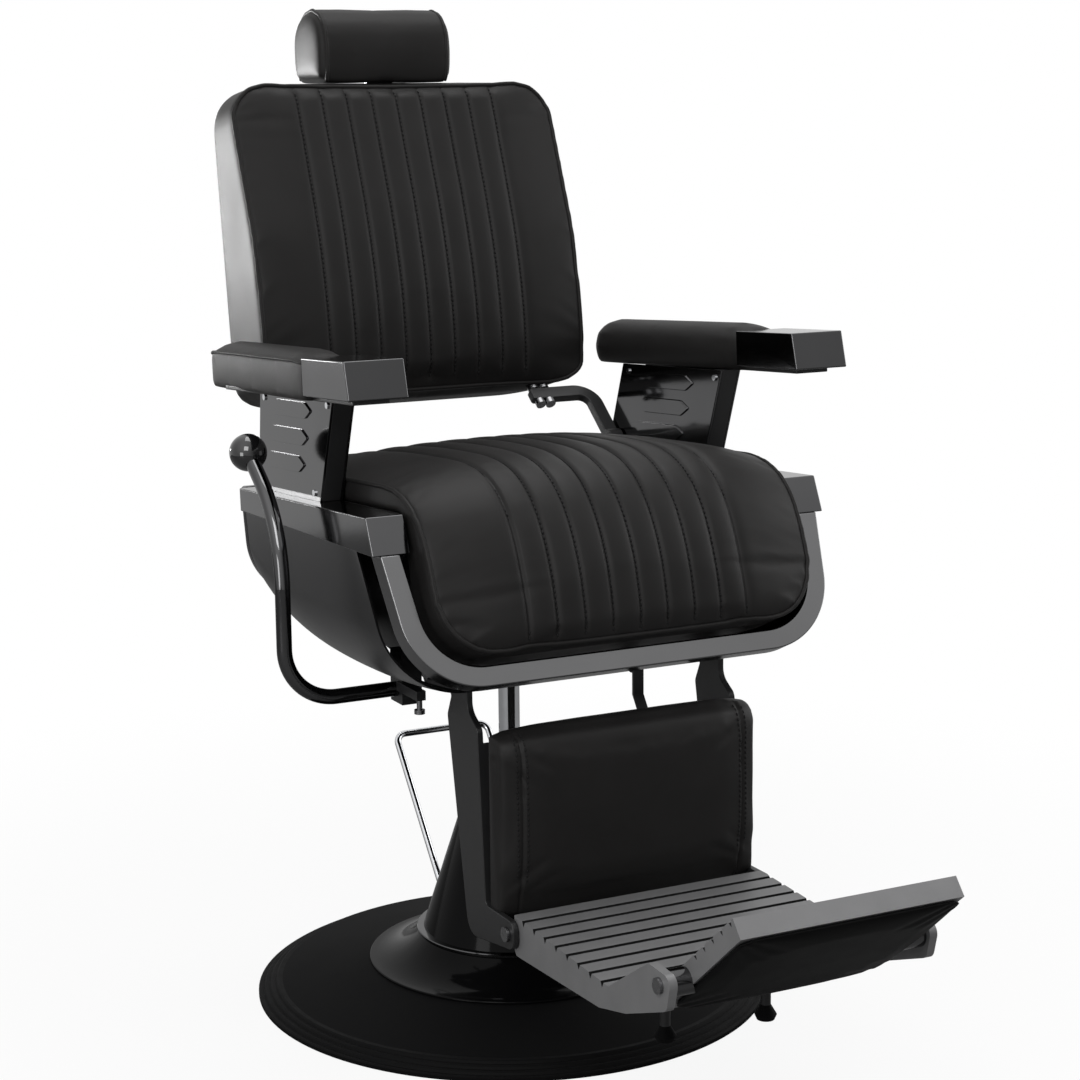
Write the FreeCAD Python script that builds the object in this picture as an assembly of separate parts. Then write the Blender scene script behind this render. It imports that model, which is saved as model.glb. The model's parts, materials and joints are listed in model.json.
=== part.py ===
import FreeCAD, Part
import math
import os

# Barber chair, millimetres. The floor is z = 0, the swivel axis is the Z axis and the chair faces -Y.
# Seat pieces are drawn level, with the rail tops at seat_height, and then leaned back by seat_tilt.
V = FreeCAD.Vector

# General
running_gap = 0.05
clear_gap = 0.5
sheet = 3.0
beyond = 1000.0  # past every edge, for cutting tools

# Pedestal
base_radius = 340.0
rim_width = 32.0
rim_height = 18.0
rim_lip = 6.0
rim_ridges = 4
base_plate_thickness = 12.0
cover_rise = 22.0
cover_wall = 2.5
skirt_radius = 191.0
skirt_height = 38.0
ring_radius = 127.0
ring_height = 4.0
shroud_foot_radius = 118.0
shroud_top_radius = 44.0
shroud_height = 228.0
shroud_wall = 2.0
cap_height = 6.0
pump_radius = 34.0
pump_flange_radius = 62.0
pump_flange = 9.0
pump_bolt_radius = 5.0
pump_bolt_circle = 48.0
pump_bolts_count = 6
piston_radius = 14.0
piston_length = 345.0
washer_thickness = 2.0

# Pump pedal
pedal_shaft_y = 46.0
pedal_shaft_z = 91.0
pedal_shaft_radius = 7.0
pedal_half_width = 70.0
pedal_rod_radius = 4.5
pedal_reach = 172.0
pedal_rise = 207.0
pedal_bend = 14.0
pedal_ear = 8.0

# Seat frame
seat_height = 684.0
seat_tilt = 3.5
hub_drop = 189.0
rail_outer = 306.0
rail_width = 48.0
rail_front = -257.0
rail_rear = 166.0
rail_front_depth = 44.0
rail_rear_depth = 30.0
band_lean = 21.3
band_width = 24.0
band_depth = 26.0
band_half_bottom = 192.0
band_corner = 96.0
band_drop = 212.0
band_side_lean = 6.0
shell_wall = 2.5
shell_gap = 34.0
shell_lip = 12.5
shell_front_drop = 206.0
shell_rear = 178.0
shell_rear_half = 296.0
shell_rear_drop = 152.0
shell_rear_corner = 82.0
shell_draft = 8.0
shell_opening_half = 200.0
panel_thickness = 14.0
cross_bar_height = 25.0
cross_bar_width = 30.0
front_bar_y = -150.0
rear_bar_y = 86.0
board_thickness = 12.0
board_top = -3.0
board_front = -236.0
board_rear = 116.0
hub_radius = 30.0
hub_length = 56.0
hub_plate = 8.0
frame_plate_x = 164.0
frame_plate = 8.0

# Seat cushion
seat_half = 253.0
seat_rear = 132.0
seat_piping_z = 26.0
seat_nose_y = -235.0
seat_drop = 160.0
seat_corner = 70.0
seat_front_y = -290.0
seat_front_slope = 0.369
seat_lip = 45.0
seat_top_crown = 38.0
seat_front_crown = 24.0

# Sewn channels of seat and back
stitch_pitch = 36.6
stitch_lines = 9
stitch_groove = 4.0

# Arms, right-hand side of the drawing is mirrored to the other
arm_inner = 255.0
arm_post_width = 24.0
post_depth = 24.0
arm_lean = 0.43
arm_plate_front = -66.0
outer_plate_rear = 148.0
inner_plate_rear = 196.0
outer_rear_lean = 0.18
bracket_z = 130.0
bracket_thickness = 6.0
pad_inner = 260.0
pad_width = 74.0
pad_side = 42.0
pad_crown = 16.0
pad_rear = 232.0
pad_toe_in = 17.0
bracket_inset = 14.0
cap_rear = -152.0
cap_front = -283.0
cap_front_lean = 10.0
cap_wall = 3.0
louvre_length = 124.0
louvre_height = 20.0
louvre_pitch = 34.0
louvre_first = 42.0
louvre_proud = 2.0
louvre_setback = 62.0
louvres = 3
screw_head = 4.0
screw_proud = 2.0

# Backrest, drawn upright from its lower rear edge and leaned back by back_lean
back_lean = 8.0
back_foot_y = 348.0
back_foot_rise = 73.0
back_half = 241.0
back_height = 430.0
back_top_depth = 66.0
back_bend_height = 220.0
back_bend_depth = 122.0
back_lumbar_height = 100.0
back_lumbar_depth = 131.0
back_foot_depth = 121.0
back_corner = 52.0
back_front_crown = 12.0
back_board_thickness = 15.0
back_cover_thickness = 9.0
back_cover_crown = 8.0
back_edge_inset = 7.0
back_pivot_y = 154.0
back_pivot_z = 25.0
back_pin_radius = 6.0
back_hub_radius = 14.0
back_shaft_radius = 9.0
back_bar_width = 20.0
back_bar_thickness = 12.0
back_bar_x = 243.0
back_bar_inner = 150.0
back_bar_corner = 36.0
back_bar_w = 106.0
back_bolt_radius = 4.0
back_recline = 45.0

# Headrest
head_half = 92.0
head_post_width = 40.0
head_post_thickness = 6.0
head_post_length = 300.0
head_post_in_pillow = 60.0
pillow_depth = 116.0
pillow_set_back = 20.5
pillow_gap = 8.0
pillow_height = 102.0
sleeve_wall = 2.0
sleeve_length = 170.0

# Leg rest
leg_pivot_y = -141.0
leg_pivot_drop = 204.0
leg_front_reach = 132.6
leg_front_slope = 0.08
leg_outer = 178.0
leg_plate = 8.0
leg_flange = 16.0
leg_shaft_radius = 11.0
leg_eye = 20.0
leg_neck = 66.0
leg_neck_drop = 13.0
leg_bulge = 52.0
leg_bulge_drop = 42.0
leg_shoulder = 109.0
leg_shoulder_drop = 25.0
leg_top_rise = 22.0
leg_lug_rise = 18.0
leg_lug_drop = 16.0
leg_lug_front = 17.0
leg_heel = 52.0
leg_flange_drop = 60.0
leg_bolt_head = 5.0
leg_share = 1.0 / 3.0
crank_x = 131.0
crank_plate = 6.0
crank_eye = 11.0
back_crank = 20.0
leg_crank = 60.0
link_pin_radius = 6.0
link_open_gap = 1.3
link_half = 7.0
link_room = 4.0
pad_half = 165.0
pad_front_reach = 204.0
pad_top_drop = 33.0
pad_height = 231.0
pad_heel = 26.0
pad_heel_rise = 46.0
pad_depth = 47.0
pad_front_crown = 8.0
pad_edge_radius = 22.0
pad_board_inset = 3.0
pad_board_rise = 42.0
strap_x = 47.0
strap_width = 14.0
strap_thickness = 4.0
strap_rise = 8.0
strap_knee = 30.0
strap_bend = 46.0
strap_foot = 84.0
strap_set = 10.0

# Footplate and flip plate
foot_pivot_reach = 210.0
foot_pivot_drop = 272.0
foot_bolt_radius = 6.0
foot_bolt_head = 4.0
foot_half = 169.5
foot_below_pivot = 26.0
foot_rear_gap = 3.0
foot_rear_height = 49.0
foot_run = 246.0
foot_valley_height = 39.0
foot_front = 22.0
foot_chin = 22.0
foot_toe = 60.0
foot_toe_rise = 8.0
foot_wall = 14.0
foot_deck_rear = 10.0
foot_deck_front = 2.0
rib_count = 9
rib_depth = 7.0
lug_width = 10.0
lug_nose = 24.0
lug_root = 40.0
flip_hinge_reach = 73.0
flip_hinge_rise = 40.0
flip_lean = 40.0
flip_half = 138.0
flip_long = 134.0
flip_short = 64.0
flip_face = 15.0
flip_metal = 24.0
flip_pad_depth = 9.0
flip_ribs = 5
flip_barrel_radius = 15.0
flip_barrel_length = 20.0
flip_pin_radius = 6.0
bumper_x = 67.0
bumper_reach = 175.0
bumper_drop = 62.0
bumper_radius = 13.0
bumper_height = 18.0
stem_radius = 6.0

# Recline lever, on the side of -X
lever_x = -342.0
lever_y = -79.0
lever_drop = 238.0
lever_rod_radius = 9.5
lever_bend = 66.0
lever_straight = 143.0
lever_neck = 150.0
lever_neck_turn = 55.0
lever_tip = 30.0
knob_radius = 23.5
lever_block = 18.0
lever_finger = 72.0
lever_screw_radius = 3.5


def cylinder(start, end, radius):
    return Part.makeCylinder(radius, (end - start).Length, start, end - start)


def box(x_low, x_high, y_low, y_high, z_low, z_high):
    return Part.makeBox(x_high - x_low, y_high - y_low, z_high - z_low, V(x_low, y_low, z_low))


def turned(points):
    wire = Part.makePolygon([V(r, 0, z) for r, z in points + points[:1]])
    return Part.Face(wire).revolve(V(0, 0, 0), V(0, 0, 1), 360)


def on_x(x):
    return lambda p: V(x, p.x, p.y)


def on_y(y):
    return lambda p: V(p.x, y, p.y)


def rounded_wire(corners, place):
    """A closed outline from corners (u, v, radius), put in space by place."""
    bends = []
    for i, (u, v, radius) in enumerate(corners):
        here = V(u, v, 0)
        before = corners[i - 1]
        after = corners[(i + 1) % len(corners)]
        back = (V(before[0], before[1], 0) - here).normalize()
        ahead = (V(after[0], after[1], 0) - here).normalize()
        half = back.getAngle(ahead) / 2
        reach = radius / math.tan(half)
        centre = here + (back + ahead).normalize() * (radius / math.sin(half)) if radius else here
        middle = centre + (here - centre).normalize() * radius if radius else here
        bends.append((here + back * reach, middle, here + ahead * reach, radius))
    edges = []
    for i, (start, middle, end, radius) in enumerate(bends):
        if radius:
            edges.append(Part.Arc(place(start), place(middle), place(end)).toShape())
        following = bends[(i + 1) % len(bends)][0]
        if (following - end).Length > 1e-6:
            edges.append(Part.LineSegment(place(end), place(following)).toShape())
    return Part.Wire(edges)


def plate_x(corners, x_low, x_high):
    """An outline of corners (y, z, radius), made solid from x_low to x_high."""
    return Part.Face(rounded_wire(corners, on_x(x_low))).extrude(V(x_high - x_low, 0, 0))


def mirrored(shape):
    return shape.mirror(V(0, 0, 0), V(1, 0, 0))


def fused(shapes):
    return shapes[0].multiFuse(shapes[1:]).removeSplitter()


def seat_point(y, z):
    """The real place of a point that is drawn level, z counted from the rail tops."""
    turn = math.radians(seat_tilt)
    return (y * math.cos(turn) + z * math.sin(turn),
            seat_height - y * math.sin(turn) + z * math.cos(turn))


def lean_seat(shape):
    placed = shape.copy()
    placed.translate(V(0, 0, seat_height))
    placed.rotate(V(0, 0, seat_height), V(1, 0, 0), -seat_tilt)
    return placed


def back_point(x, w, v):
    """A point of the backrest: w forward of its rear face, v up from its foot."""
    turn = math.radians(back_lean)
    return V(x, back_foot_y + v * math.sin(turn) - w * math.cos(turn),
             back_foot_z + v * math.cos(turn) + w * math.sin(turn))


# Heights that follow from the stack of the pedestal
cover_top = rim_height + cover_rise
skirt_top = cover_top + skirt_height
ring_top = skirt_top + ring_height
shroud_top = ring_top + shroud_height
cap_top = shroud_top + cap_height
rim_inner = base_radius - rim_width
pump_top = shroud_top - shroud_wall
# Heights that go with the seat
piston_top = seat_height - hub_drop
hub_top = piston_top + washer_thickness
back_axis = seat_point(back_pivot_y, back_pivot_z)
back_foot_z = seat_height + back_foot_rise
leg_pivot_z = seat_height - leg_pivot_drop
leg_axis = (leg_pivot_y, leg_pivot_z)
lever_z = seat_height - lever_drop
lever_straight_top = lever_z + lever_straight
# Places that go with the leg rest's pivot
pad_front_y = leg_pivot_y - pad_front_reach
pad_top_z = leg_pivot_z - pad_top_drop
pad_bottom_z = pad_top_z - pad_height
foot_pivot_y = leg_pivot_y - foot_pivot_reach
foot_pivot_z = leg_pivot_z - foot_pivot_drop
foot_axis = (foot_pivot_y, foot_pivot_z)
foot_rear = foot_pivot_y - foot_rear_gap
foot_bottom = foot_pivot_z - foot_below_pivot
foot_rear_top = foot_bottom + foot_rear_height
foot_valley_y = foot_rear - foot_run
foot_valley_z = foot_bottom + foot_valley_height
foot_end = foot_valley_y - foot_front
flip_hinge_y = foot_end - flip_hinge_reach
flip_hinge_z = foot_valley_z + flip_hinge_rise
flip_axis = (flip_hinge_y, flip_hinge_z)
bumper_y = foot_rear - bumper_reach
bumper_z = foot_bottom - bumper_drop
frame_side = frame_plate_x + frame_plate / 2
lever_inner_x = -frame_side - clear_gap
# Depth and corner of the tub along its length
shell_sections = [(-110.0, 1.45 * shell_rear_drop, 1.25 * shell_rear_corner),
                  (40.0, 1.37 * shell_rear_drop, 1.2 * shell_rear_corner),
                  (shell_rear * 0.7, 1.21 * shell_rear_drop, 1.1 * shell_rear_corner),
                  (shell_rear, shell_rear_drop, shell_rear_corner)]


def make_base_rim():
    step = rim_width / rim_ridges
    rise = (rim_height - rim_lip) / (rim_ridges - 1)
    outline = [(rim_inner, 0), (base_radius, 0)]
    for i in range(rim_ridges):
        outer = base_radius - i * step
        level = rim_lip + i * rise
        outline += [(outer, level - rise / 3), (outer - step / 4, level), (outer - step * 0.8, level)]
    return turned(outline + [(rim_inner, rim_height)])


def pump_bolt_points():
    turns = [2 * math.pi * (i + 0.5) / pump_bolts_count for i in range(pump_bolts_count)]
    return [V(pump_bolt_circle * math.cos(t), pump_bolt_circle * math.sin(t), 0) for t in turns]


def bolt_holes(z_low, z_high):
    bolts = [cylinder(p + V(0, 0, z_low), p + V(0, 0, z_high), pump_bolt_radius + clear_gap)
             for p in pump_bolt_points()]
    return Part.makeCompound(bolts)


def make_base_plate():
    plate = turned([(0, 0), (rim_inner, 0), (rim_inner, base_plate_thickness), (0, base_plate_thickness)])
    return plate.cut(bolt_holes(base_plate_thickness / 3, base_plate_thickness))


def make_base_cover():
    skirt_seat = skirt_radius - 3 * sheet
    return turned([(rim_inner, base_plate_thickness), (rim_inner, rim_height), (skirt_radius, cover_top),
                   (skirt_seat - rim_width, cover_top), (skirt_seat - rim_width, cover_top - cover_wall),
                   (skirt_radius, cover_top - cover_wall), (rim_inner - cover_wall, rim_height - cover_wall),
                   (rim_inner - cover_wall, base_plate_thickness)])


def make_base_skirt():
    """A flared pressing whose wall is as thick as the cover's."""
    bead = cover_wall * 1.4
    foot = [V(skirt_radius - cover_wall, 0, cover_top), V(skirt_radius, 0, cover_top),
            V(skirt_radius, 0, cover_top + bead)]
    top_out = V(ring_radius - cover_wall, 0, skirt_top)
    top_in = V(shroud_foot_radius - 2 * cover_wall, 0, skirt_top)
    flare = V(skirt_radius * 0.4 + ring_radius * 0.6, 0, cover_top + skirt_height * 0.34)
    inner = flare - V(cover_wall, 0, cover_wall)
    lip_in = V(skirt_radius - 2 * cover_wall, 0, cover_top)
    edges = [Part.LineSegment(foot[i], foot[i + 1]).toShape() for i in range(2)]
    edges.append(Part.Arc(foot[2], flare, top_out).toShape())
    edges.append(Part.LineSegment(top_out, top_in).toShape())
    edges.append(Part.Arc(top_in, inner, lip_in).toShape())
    edges.append(Part.LineSegment(lip_in, foot[0]).toShape())
    return Part.Face(Part.Wire(edges)).revolve(V(0, 0, 0), V(0, 0, 1), 360)


def make_shroud_ring():
    inner = shroud_foot_radius - 2 * shroud_wall
    return turned([(inner, skirt_top), (ring_radius, skirt_top), (ring_radius, ring_top - 1),
                   (ring_radius - 1, ring_top), (inner, ring_top)])


def make_pump_shroud():
    """A cone with two slots at the rear that the pedal's arms pass through."""
    cone = turned([(shroud_foot_radius - shroud_wall, ring_top), (shroud_foot_radius, ring_top),
                   (shroud_top_radius, shroud_top), (shroud_top_radius - shroud_wall, shroud_top)])
    slot_half = pedal_rod_radius + 3
    slot_top = pedal_shaft_z + pedal_rise / 2
    slot = box(pedal_half_width - slot_half, pedal_half_width + slot_half, pedal_shaft_y, base_radius,
               ring_top + slot_half, slot_top)
    return cone.cut(slot).cut(mirrored(slot))


def make_shroud_cap():
    inner = piston_radius + clear_gap
    return turned([(inner, shroud_top), (shroud_top_radius, shroud_top), (shroud_top_radius, cap_top - 2),
                   (shroud_top_radius - 3, cap_top), (inner, cap_top)])


def make_pump_cylinder():
    """Pump body with its bolted flange and two ears that carry the pedal's shaft."""
    foot = base_plate_thickness
    body = turned([(0, foot), (pump_flange_radius, foot), (pump_flange_radius, foot + pump_flange),
                   (pump_radius, foot + pump_flange), (pump_radius, pump_top), (0, pump_top)])
    body = body.cut(bolt_holes(foot, foot + pump_flange))
    eye = pedal_shaft_radius + pedal_ear
    ear = box(pump_radius / 2, pump_radius / 2 + pedal_ear, 0, pedal_shaft_y + eye,
              pedal_shaft_z - eye, pedal_shaft_z + eye)
    shaft = V(-beyond, pedal_shaft_y, pedal_shaft_z)
    bore = cylinder(shaft, shaft + V(2 * beyond, 0, 0), pedal_shaft_radius + running_gap)
    body = fused([body, ear, mirrored(ear)]).cut(bore)
    well = cylinder(V(0, 0, foot + pump_flange), V(0, 0, pump_top), piston_radius + running_gap)
    return body.cut(well)


def make_pump_bolts():
    """Hexagon heads on the pump's flange, each with its shank in the plate below."""
    low = base_plate_thickness / 3
    seat = base_plate_thickness + pump_flange
    bolts = []
    for point in pump_bolt_points():
        shank = cylinder(point + V(0, 0, low), point + V(0, 0, seat), pump_bolt_radius)
        turns = [math.radians(60 * i) for i in range(7)]
        across = 1.8 * pump_bolt_radius
        corners = [point + V(across * math.cos(t), across * math.sin(t), seat) for t in turns]
        head = Part.Face(Part.makePolygon(corners)).extrude(V(0, 0, 1.4 * pump_bolt_radius))
        bolts.append(fused([shank, head]))
    return Part.makeCompound(bolts)


def swept_rod(points, bend, radius):
    """A round rod along straight runs joined by arcs of one bend radius, or one for each corner."""
    bends = bend if isinstance(bend, list) else [bend] * (len(points) - 2)
    edges = []
    start = points[0]
    for i, corner_bend in enumerate(bends):
        corner = points[i + 1]
        back = (points[i] - corner).normalize()
        ahead = (points[i + 2] - corner).normalize()
        half = back.getAngle(ahead) / 2
        reach = corner_bend / math.tan(half)
        centre = corner + (back + ahead).normalize() * (corner_bend / math.sin(half))
        middle = centre + (corner - centre).normalize() * corner_bend
        edges.append(Part.LineSegment(start, corner + back * reach).toShape())
        edges.append(Part.Arc(corner + back * reach, middle, corner + ahead * reach).toShape())
        start = corner + ahead * reach
    edges.append(Part.LineSegment(start, points[-1]).toShape())
    path = Part.Wire(edges)
    section = Part.Wire(Part.makeCircle(radius, points[0], points[1] - points[0]))
    return path.makePipeShell([section], True, False)


def make_pump_pedal():
    """A bent rod loop welded to its cross shaft."""
    foot = V(pedal_half_width, pedal_shaft_y, pedal_shaft_z)
    top = foot + V(0, pedal_reach, pedal_rise)
    flip = V(-1, 1, 1)
    other_foot = V(foot.x * flip.x, foot.y, foot.z)
    other_top = V(top.x * flip.x, top.y, top.z)
    loop = swept_rod([foot, top, other_top, other_foot], pedal_bend, pedal_rod_radius)
    reach = V(pedal_rod_radius + 2, 0, 0)
    shaft = cylinder(other_foot - reach, foot + reach, pedal_shaft_radius)
    return fused([shaft, loop])


def make_piston():
    return cylinder(V(0, 0, piston_top - piston_length), V(0, 0, piston_top), piston_radius)


def make_swivel_washer():
    return cylinder(V(0, 0, piston_top), V(0, 0, hub_top), piston_radius - 1)


def band_frame(depth):
    """Maps a front outline (x, down) to the leaning plane of the band, set back by depth."""
    turn = math.radians(band_lean)
    down = V(0, -math.sin(turn), -math.cos(turn))
    inward = V(0, math.cos(turn), -math.sin(turn))
    return lambda p: V(p.x, rail_front, 0) + down * p.y + inward * depth


def tub_corners(half_top, half_bottom, drop, corner, inset):
    """An open U as a closed outline: straight sides, round lower corners and a flat bottom."""
    return [(-half_top + inset, 0, 0), (-half_bottom + inset, drop - inset, corner - inset),
            (half_bottom - inset, drop - inset, corner - inset), (half_top - inset, 0, 0)]


def front_tub(inset):
    half_top = rail_outer - 5
    half_foot = half_top - band_drop * math.tan(math.radians(band_side_lean))
    return tub_corners(half_top, half_foot, band_drop, band_corner, inset)


def tub_section(drop, corner, inset):
    return tub_corners(shell_rear_half, shell_rear_half - shell_draft, drop, corner, inset)


def under_rails():
    """Everything below the rails' undersides."""
    return plate_x([(rail_front - beyond, -rail_front_depth, 0), (rail_front, -rail_front_depth, 0),
                    (rail_rear, -rail_rear_depth, 0), (rail_rear + beyond, -rail_rear_depth, 0),
                    (rail_rear + beyond, -beyond, 0), (rail_front - beyond, -beyond, 0)], -beyond, beyond)


def make_front_band():
    outer = Part.Face(rounded_wire(front_tub(0), band_frame(0)))
    inner = Part.Face(rounded_wire(front_tub(band_width), band_frame(0)))
    inward = band_frame(band_depth)(V(0, 0, 0)) - band_frame(0)(V(0, 0, 0))
    return lean_seat(outer.cut(inner).extrude(inward).common(under_rails()))


def make_seat_shell():
    """The tub's skin behind the band: a deep belly, open above, with a wide opening behind its front lip."""
    half = rail_outer - 5
    front_plane = band_frame(band_depth + shell_gap)

    def tub(inset):
        front = tub_corners(half, half - 2 * shell_draft, shell_front_drop, band_corner, inset)
        wires = [rounded_wire(front, front_plane)]
        for y, drop, corner in shell_sections:
            section = tub_section(drop, corner, inset)
            wires.append(rounded_wire(section, lambda p, y=y: V(p.x, y, -p.y)))
        return Part.makeLoft(wires, True, False)
    skin = tub(0).cut(tub(shell_wall)).common(under_rails())
    lip_rear = front_plane(V(0, shell_front_drop, 0)).y + shell_lip
    opening = box(-shell_opening_half, shell_opening_half, lip_rear, rear_bar_y + cross_bar_width,
                  -beyond, -shell_rear_drop / 2)
    return lean_seat(skin.cut(opening))


def make_rear_panel():
    place = lambda p: V(p.x, shell_rear, -p.y)
    section = tub_section(shell_rear_drop, shell_rear_corner, 0)
    corners = [(u, v, radius or 6) for u, v, radius in section]
    panel = Part.Face(rounded_wire(corners, place)).extrude(V(0, panel_thickness, 0))
    return lean_seat(panel)


def rail_corners(inset):
    lean = math.tan(math.radians(band_lean))
    rear = rail_rear + inset
    front = rail_front + inset
    return [(front, -inset, 0), (front - (rail_front_depth - 2 * inset) * lean, -rail_front_depth + inset, 0),
            (rear, -rail_rear_depth + inset, 0), (rear, -inset, 0)]


def make_rail():
    """A tapering box section, closed in front and open behind."""
    outer = plate_x(rail_corners(0), rail_outer - rail_width, rail_outer)
    inner = plate_x(rail_corners(sheet), rail_outer - rail_width + sheet, rail_outer - sheet)
    return lean_seat(outer.cut(inner))


def make_underframe():
    """Cross bars, side plates and the hub that turns on the piston, welded together."""
    reach = rail_outer - rail_width
    bar_top = board_top - board_thickness
    bar_half = cross_bar_width / 2
    bars = [lean_seat(box(-reach, reach, y - bar_half, y + bar_half, bar_top - cross_bar_height, bar_top))
            for y in (front_bar_y, rear_bar_y)]
    hub_y = hub_radius * 2.6
    eye = leg_shaft_radius + leg_eye / 2
    front_y, front_z = seat_point(front_bar_y - bar_half, bar_top - cross_bar_height / 2)
    rear_y, rear_z = seat_point(rear_bar_y + bar_half, bar_top - cross_bar_height / 2)
    corners = [(leg_pivot_y - eye, leg_pivot_z - eye, eye * 0.9),
               (leg_pivot_y + eye, leg_pivot_z - eye, eye * 0.9),
               (hub_y, piston_top - hub_plate, 10), (rear_y, rear_z - 2 * cross_bar_height, 10),
               (rear_y, rear_z, 0), (rear_y - cross_bar_width, rear_z, 0),
               (hub_y / 2, piston_top + hub_plate * 6, 20),
               (front_y + cross_bar_width, front_z, 0), (front_y, front_z, 0)]
    side = plate_x(corners, frame_plate_x - frame_plate / 2, frame_plate_x + frame_plate / 2)
    shaft = cylinder(V(-rail_outer, *leg_axis), V(rail_outer, *leg_axis), leg_shaft_radius + running_gap)
    deck = box(-frame_plate_x, frame_plate_x, -hub_y, hub_y, hub_top, hub_top + hub_plate)
    tube = cylinder(V(0, 0, hub_top - hub_length), V(0, 0, hub_top), hub_radius)
    well = cylinder(V(0, 0, hub_top - hub_length), V(0, 0, hub_top), piston_radius + running_gap)
    low, high = link_span(link_room)
    slot = box(low, high, -hub_y + bar_half, hub_y - bar_half, hub_top, hub_top + hub_plate)
    frame = fused([deck, tube, side, mirrored(side)] + bars)
    return frame.cut(shaft).cut(well).cut(slot)


def make_seat_board():
    half = rail_outer - rail_width
    return lean_seat(box(-half, half, board_front, board_rear, board_top - board_thickness, board_top))


def channel_stations(half):
    """Places across a sewn panel with the crown's share and the groove's share at each."""
    outer = stitch_pitch * (stitch_lines - 1) / 2
    stations = [(-outer + i * stitch_pitch / 2, 1 - i % 2) for i in range(2 * stitch_lines - 1)]
    margin = half - outer
    sides = [(outer + margin * part, 0) for part in (0.35, 0.7, 0.92, 1.0)]
    stations = [(-x, groove) for x, groove in reversed(sides)] + stations + sides
    return [(x, 1 - 0.95 * abs(x / half) ** 3, groove) for x, groove in stations]


def corner_rise(x, half, radius):
    """How far a round corner of an outline has risen at x."""
    along = max(0.0, abs(x) - (half - radius))
    return radius - math.sqrt(max(0.0, radius ** 2 - along ** 2))


def make_seat_cushion():
    """A waterfall cushion on the board, crowned, with sewn channels over its top and front."""
    wires = []
    for x, crown, groove in channel_stations(seat_half):
        place = on_x(x)
        low = -seat_drop + corner_rise(x, seat_half, seat_corner)
        top = seat_top_crown * crown - stitch_groove * groove
        bulge = seat_front_crown * crown - stitch_groove * groove
        front = seat_front_y + seat_front_slope * low
        rear_low = V(seat_rear, board_top, 0)
        rear_high = V(seat_rear, seat_piping_z + 0.3 * top, 0)
        crest = V((seat_rear + seat_nose_y) / 2, seat_piping_z + top, 0)
        nose = V(seat_nose_y - 0.2 * bulge, seat_piping_z + 0.75 * top, 0)
        swell = V(seat_front_y + seat_front_slope * low / 3 - bulge, low / 3 + 0.35 * bulge, 0)
        foot = V(front - 0.4 * bulge, low, 0)
        lip = V(front + seat_lip, low, 0)
        inside = V(board_front, board_top, 0)
        edges = [Part.LineSegment(place(rear_low), place(rear_high)).toShape(),
                 Part.Arc(place(rear_high), place(crest), place(nose)).toShape(),
                 Part.Arc(place(nose), place(swell), place(foot)).toShape(),
                 Part.LineSegment(place(foot), place(lip)).toShape(),
                 Part.LineSegment(place(lip), place(inside)).toShape(),
                 Part.LineSegment(place(inside), place(rear_low)).toShape()]
        wires.append(Part.Wire(edges))
    return lean_seat(Part.makeLoft(wires, True, True))


def arm_plate_corners(rear_foot, rear_lean):
    front_top = arm_plate_front - arm_lean * bracket_z
    return [(arm_plate_front, 0, 4), (front_top, bracket_z, 0),
            (rear_foot - rear_lean * bracket_z, bracket_z, 0), (rear_foot, 0, 4)]


def louvre_outline(row):
    """A pressed bullet shape with its nose to the front."""
    z = louvre_first + row * louvre_pitch
    front = arm_plate_front - arm_lean * z + louvre_setback
    half = louvre_height / 2
    rear = front + louvre_length
    nose = front + louvre_height
    return [(front, z, 2), (nose, z + half, half), (rear, z + half, half * 0.8),
            (rear, z - half, half * 0.8), (nose, z - half, half)]


def make_arm_plate(x_low, rear_foot, rear_lean, louvre_side, pivot):
    x_high = x_low + sheet
    plate = plate_x(arm_plate_corners(rear_foot, rear_lean), x_low, x_high)
    face = x_high if louvre_side > 0 else x_low - louvre_proud
    bumps = [plate_x(louvre_outline(row), face, face + louvre_proud) for row in range(louvres)]
    plate = fused([plate] + bumps)
    if pivot:
        axis = V(x_low - louvre_proud, back_pivot_y, back_pivot_z)
        plate = plate.cut(cylinder(axis, axis + V(x_high - x_low + 2 * louvre_proud, 0, 0), back_pin_radius))
    return lean_seat(plate)


def make_arm_post():
    """The front post with the flat bracket that carries the pad, welded on top."""
    low, high = arm_inner + sheet, arm_inner + sheet + arm_post_width
    front_top = arm_plate_front - arm_lean * bracket_z
    post = plate_x([(arm_plate_front, 0, 0), (front_top, bracket_z, 0),
                    (front_top + post_depth, bracket_z, 0), (arm_plate_front + post_depth, 0, 0)], low, high)
    bracket = box(pad_inner + bracket_inset, pad_inner + pad_width - bracket_inset, cap_front + 4 * cap_wall,
                  pad_rear - pad_width, bracket_z, bracket_z + bracket_thickness)
    return lean_seat(fused([post, bracket]))


def make_arm_cap():
    """A box-shaped end, open behind, that leans forward at its foot."""
    low = bracket_z + bracket_thickness
    high = low + pad_side + cap_wall

    def hollow(inset, rear):
        foot = cap_front - cap_front_lean
        return [(cap_front + inset, high - inset, 1.5), (foot + inset, low + inset, 1.5),
                (rear, low + inset, 0), (rear, high - inset, 0)]
    outer = plate_x(hollow(0, cap_rear), pad_inner, pad_inner + pad_width)
    inner = plate_x(hollow(cap_wall, cap_rear + 1), pad_inner + cap_wall, pad_inner + pad_width - cap_wall)
    return lean_seat(outer.cut(inner))


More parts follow.
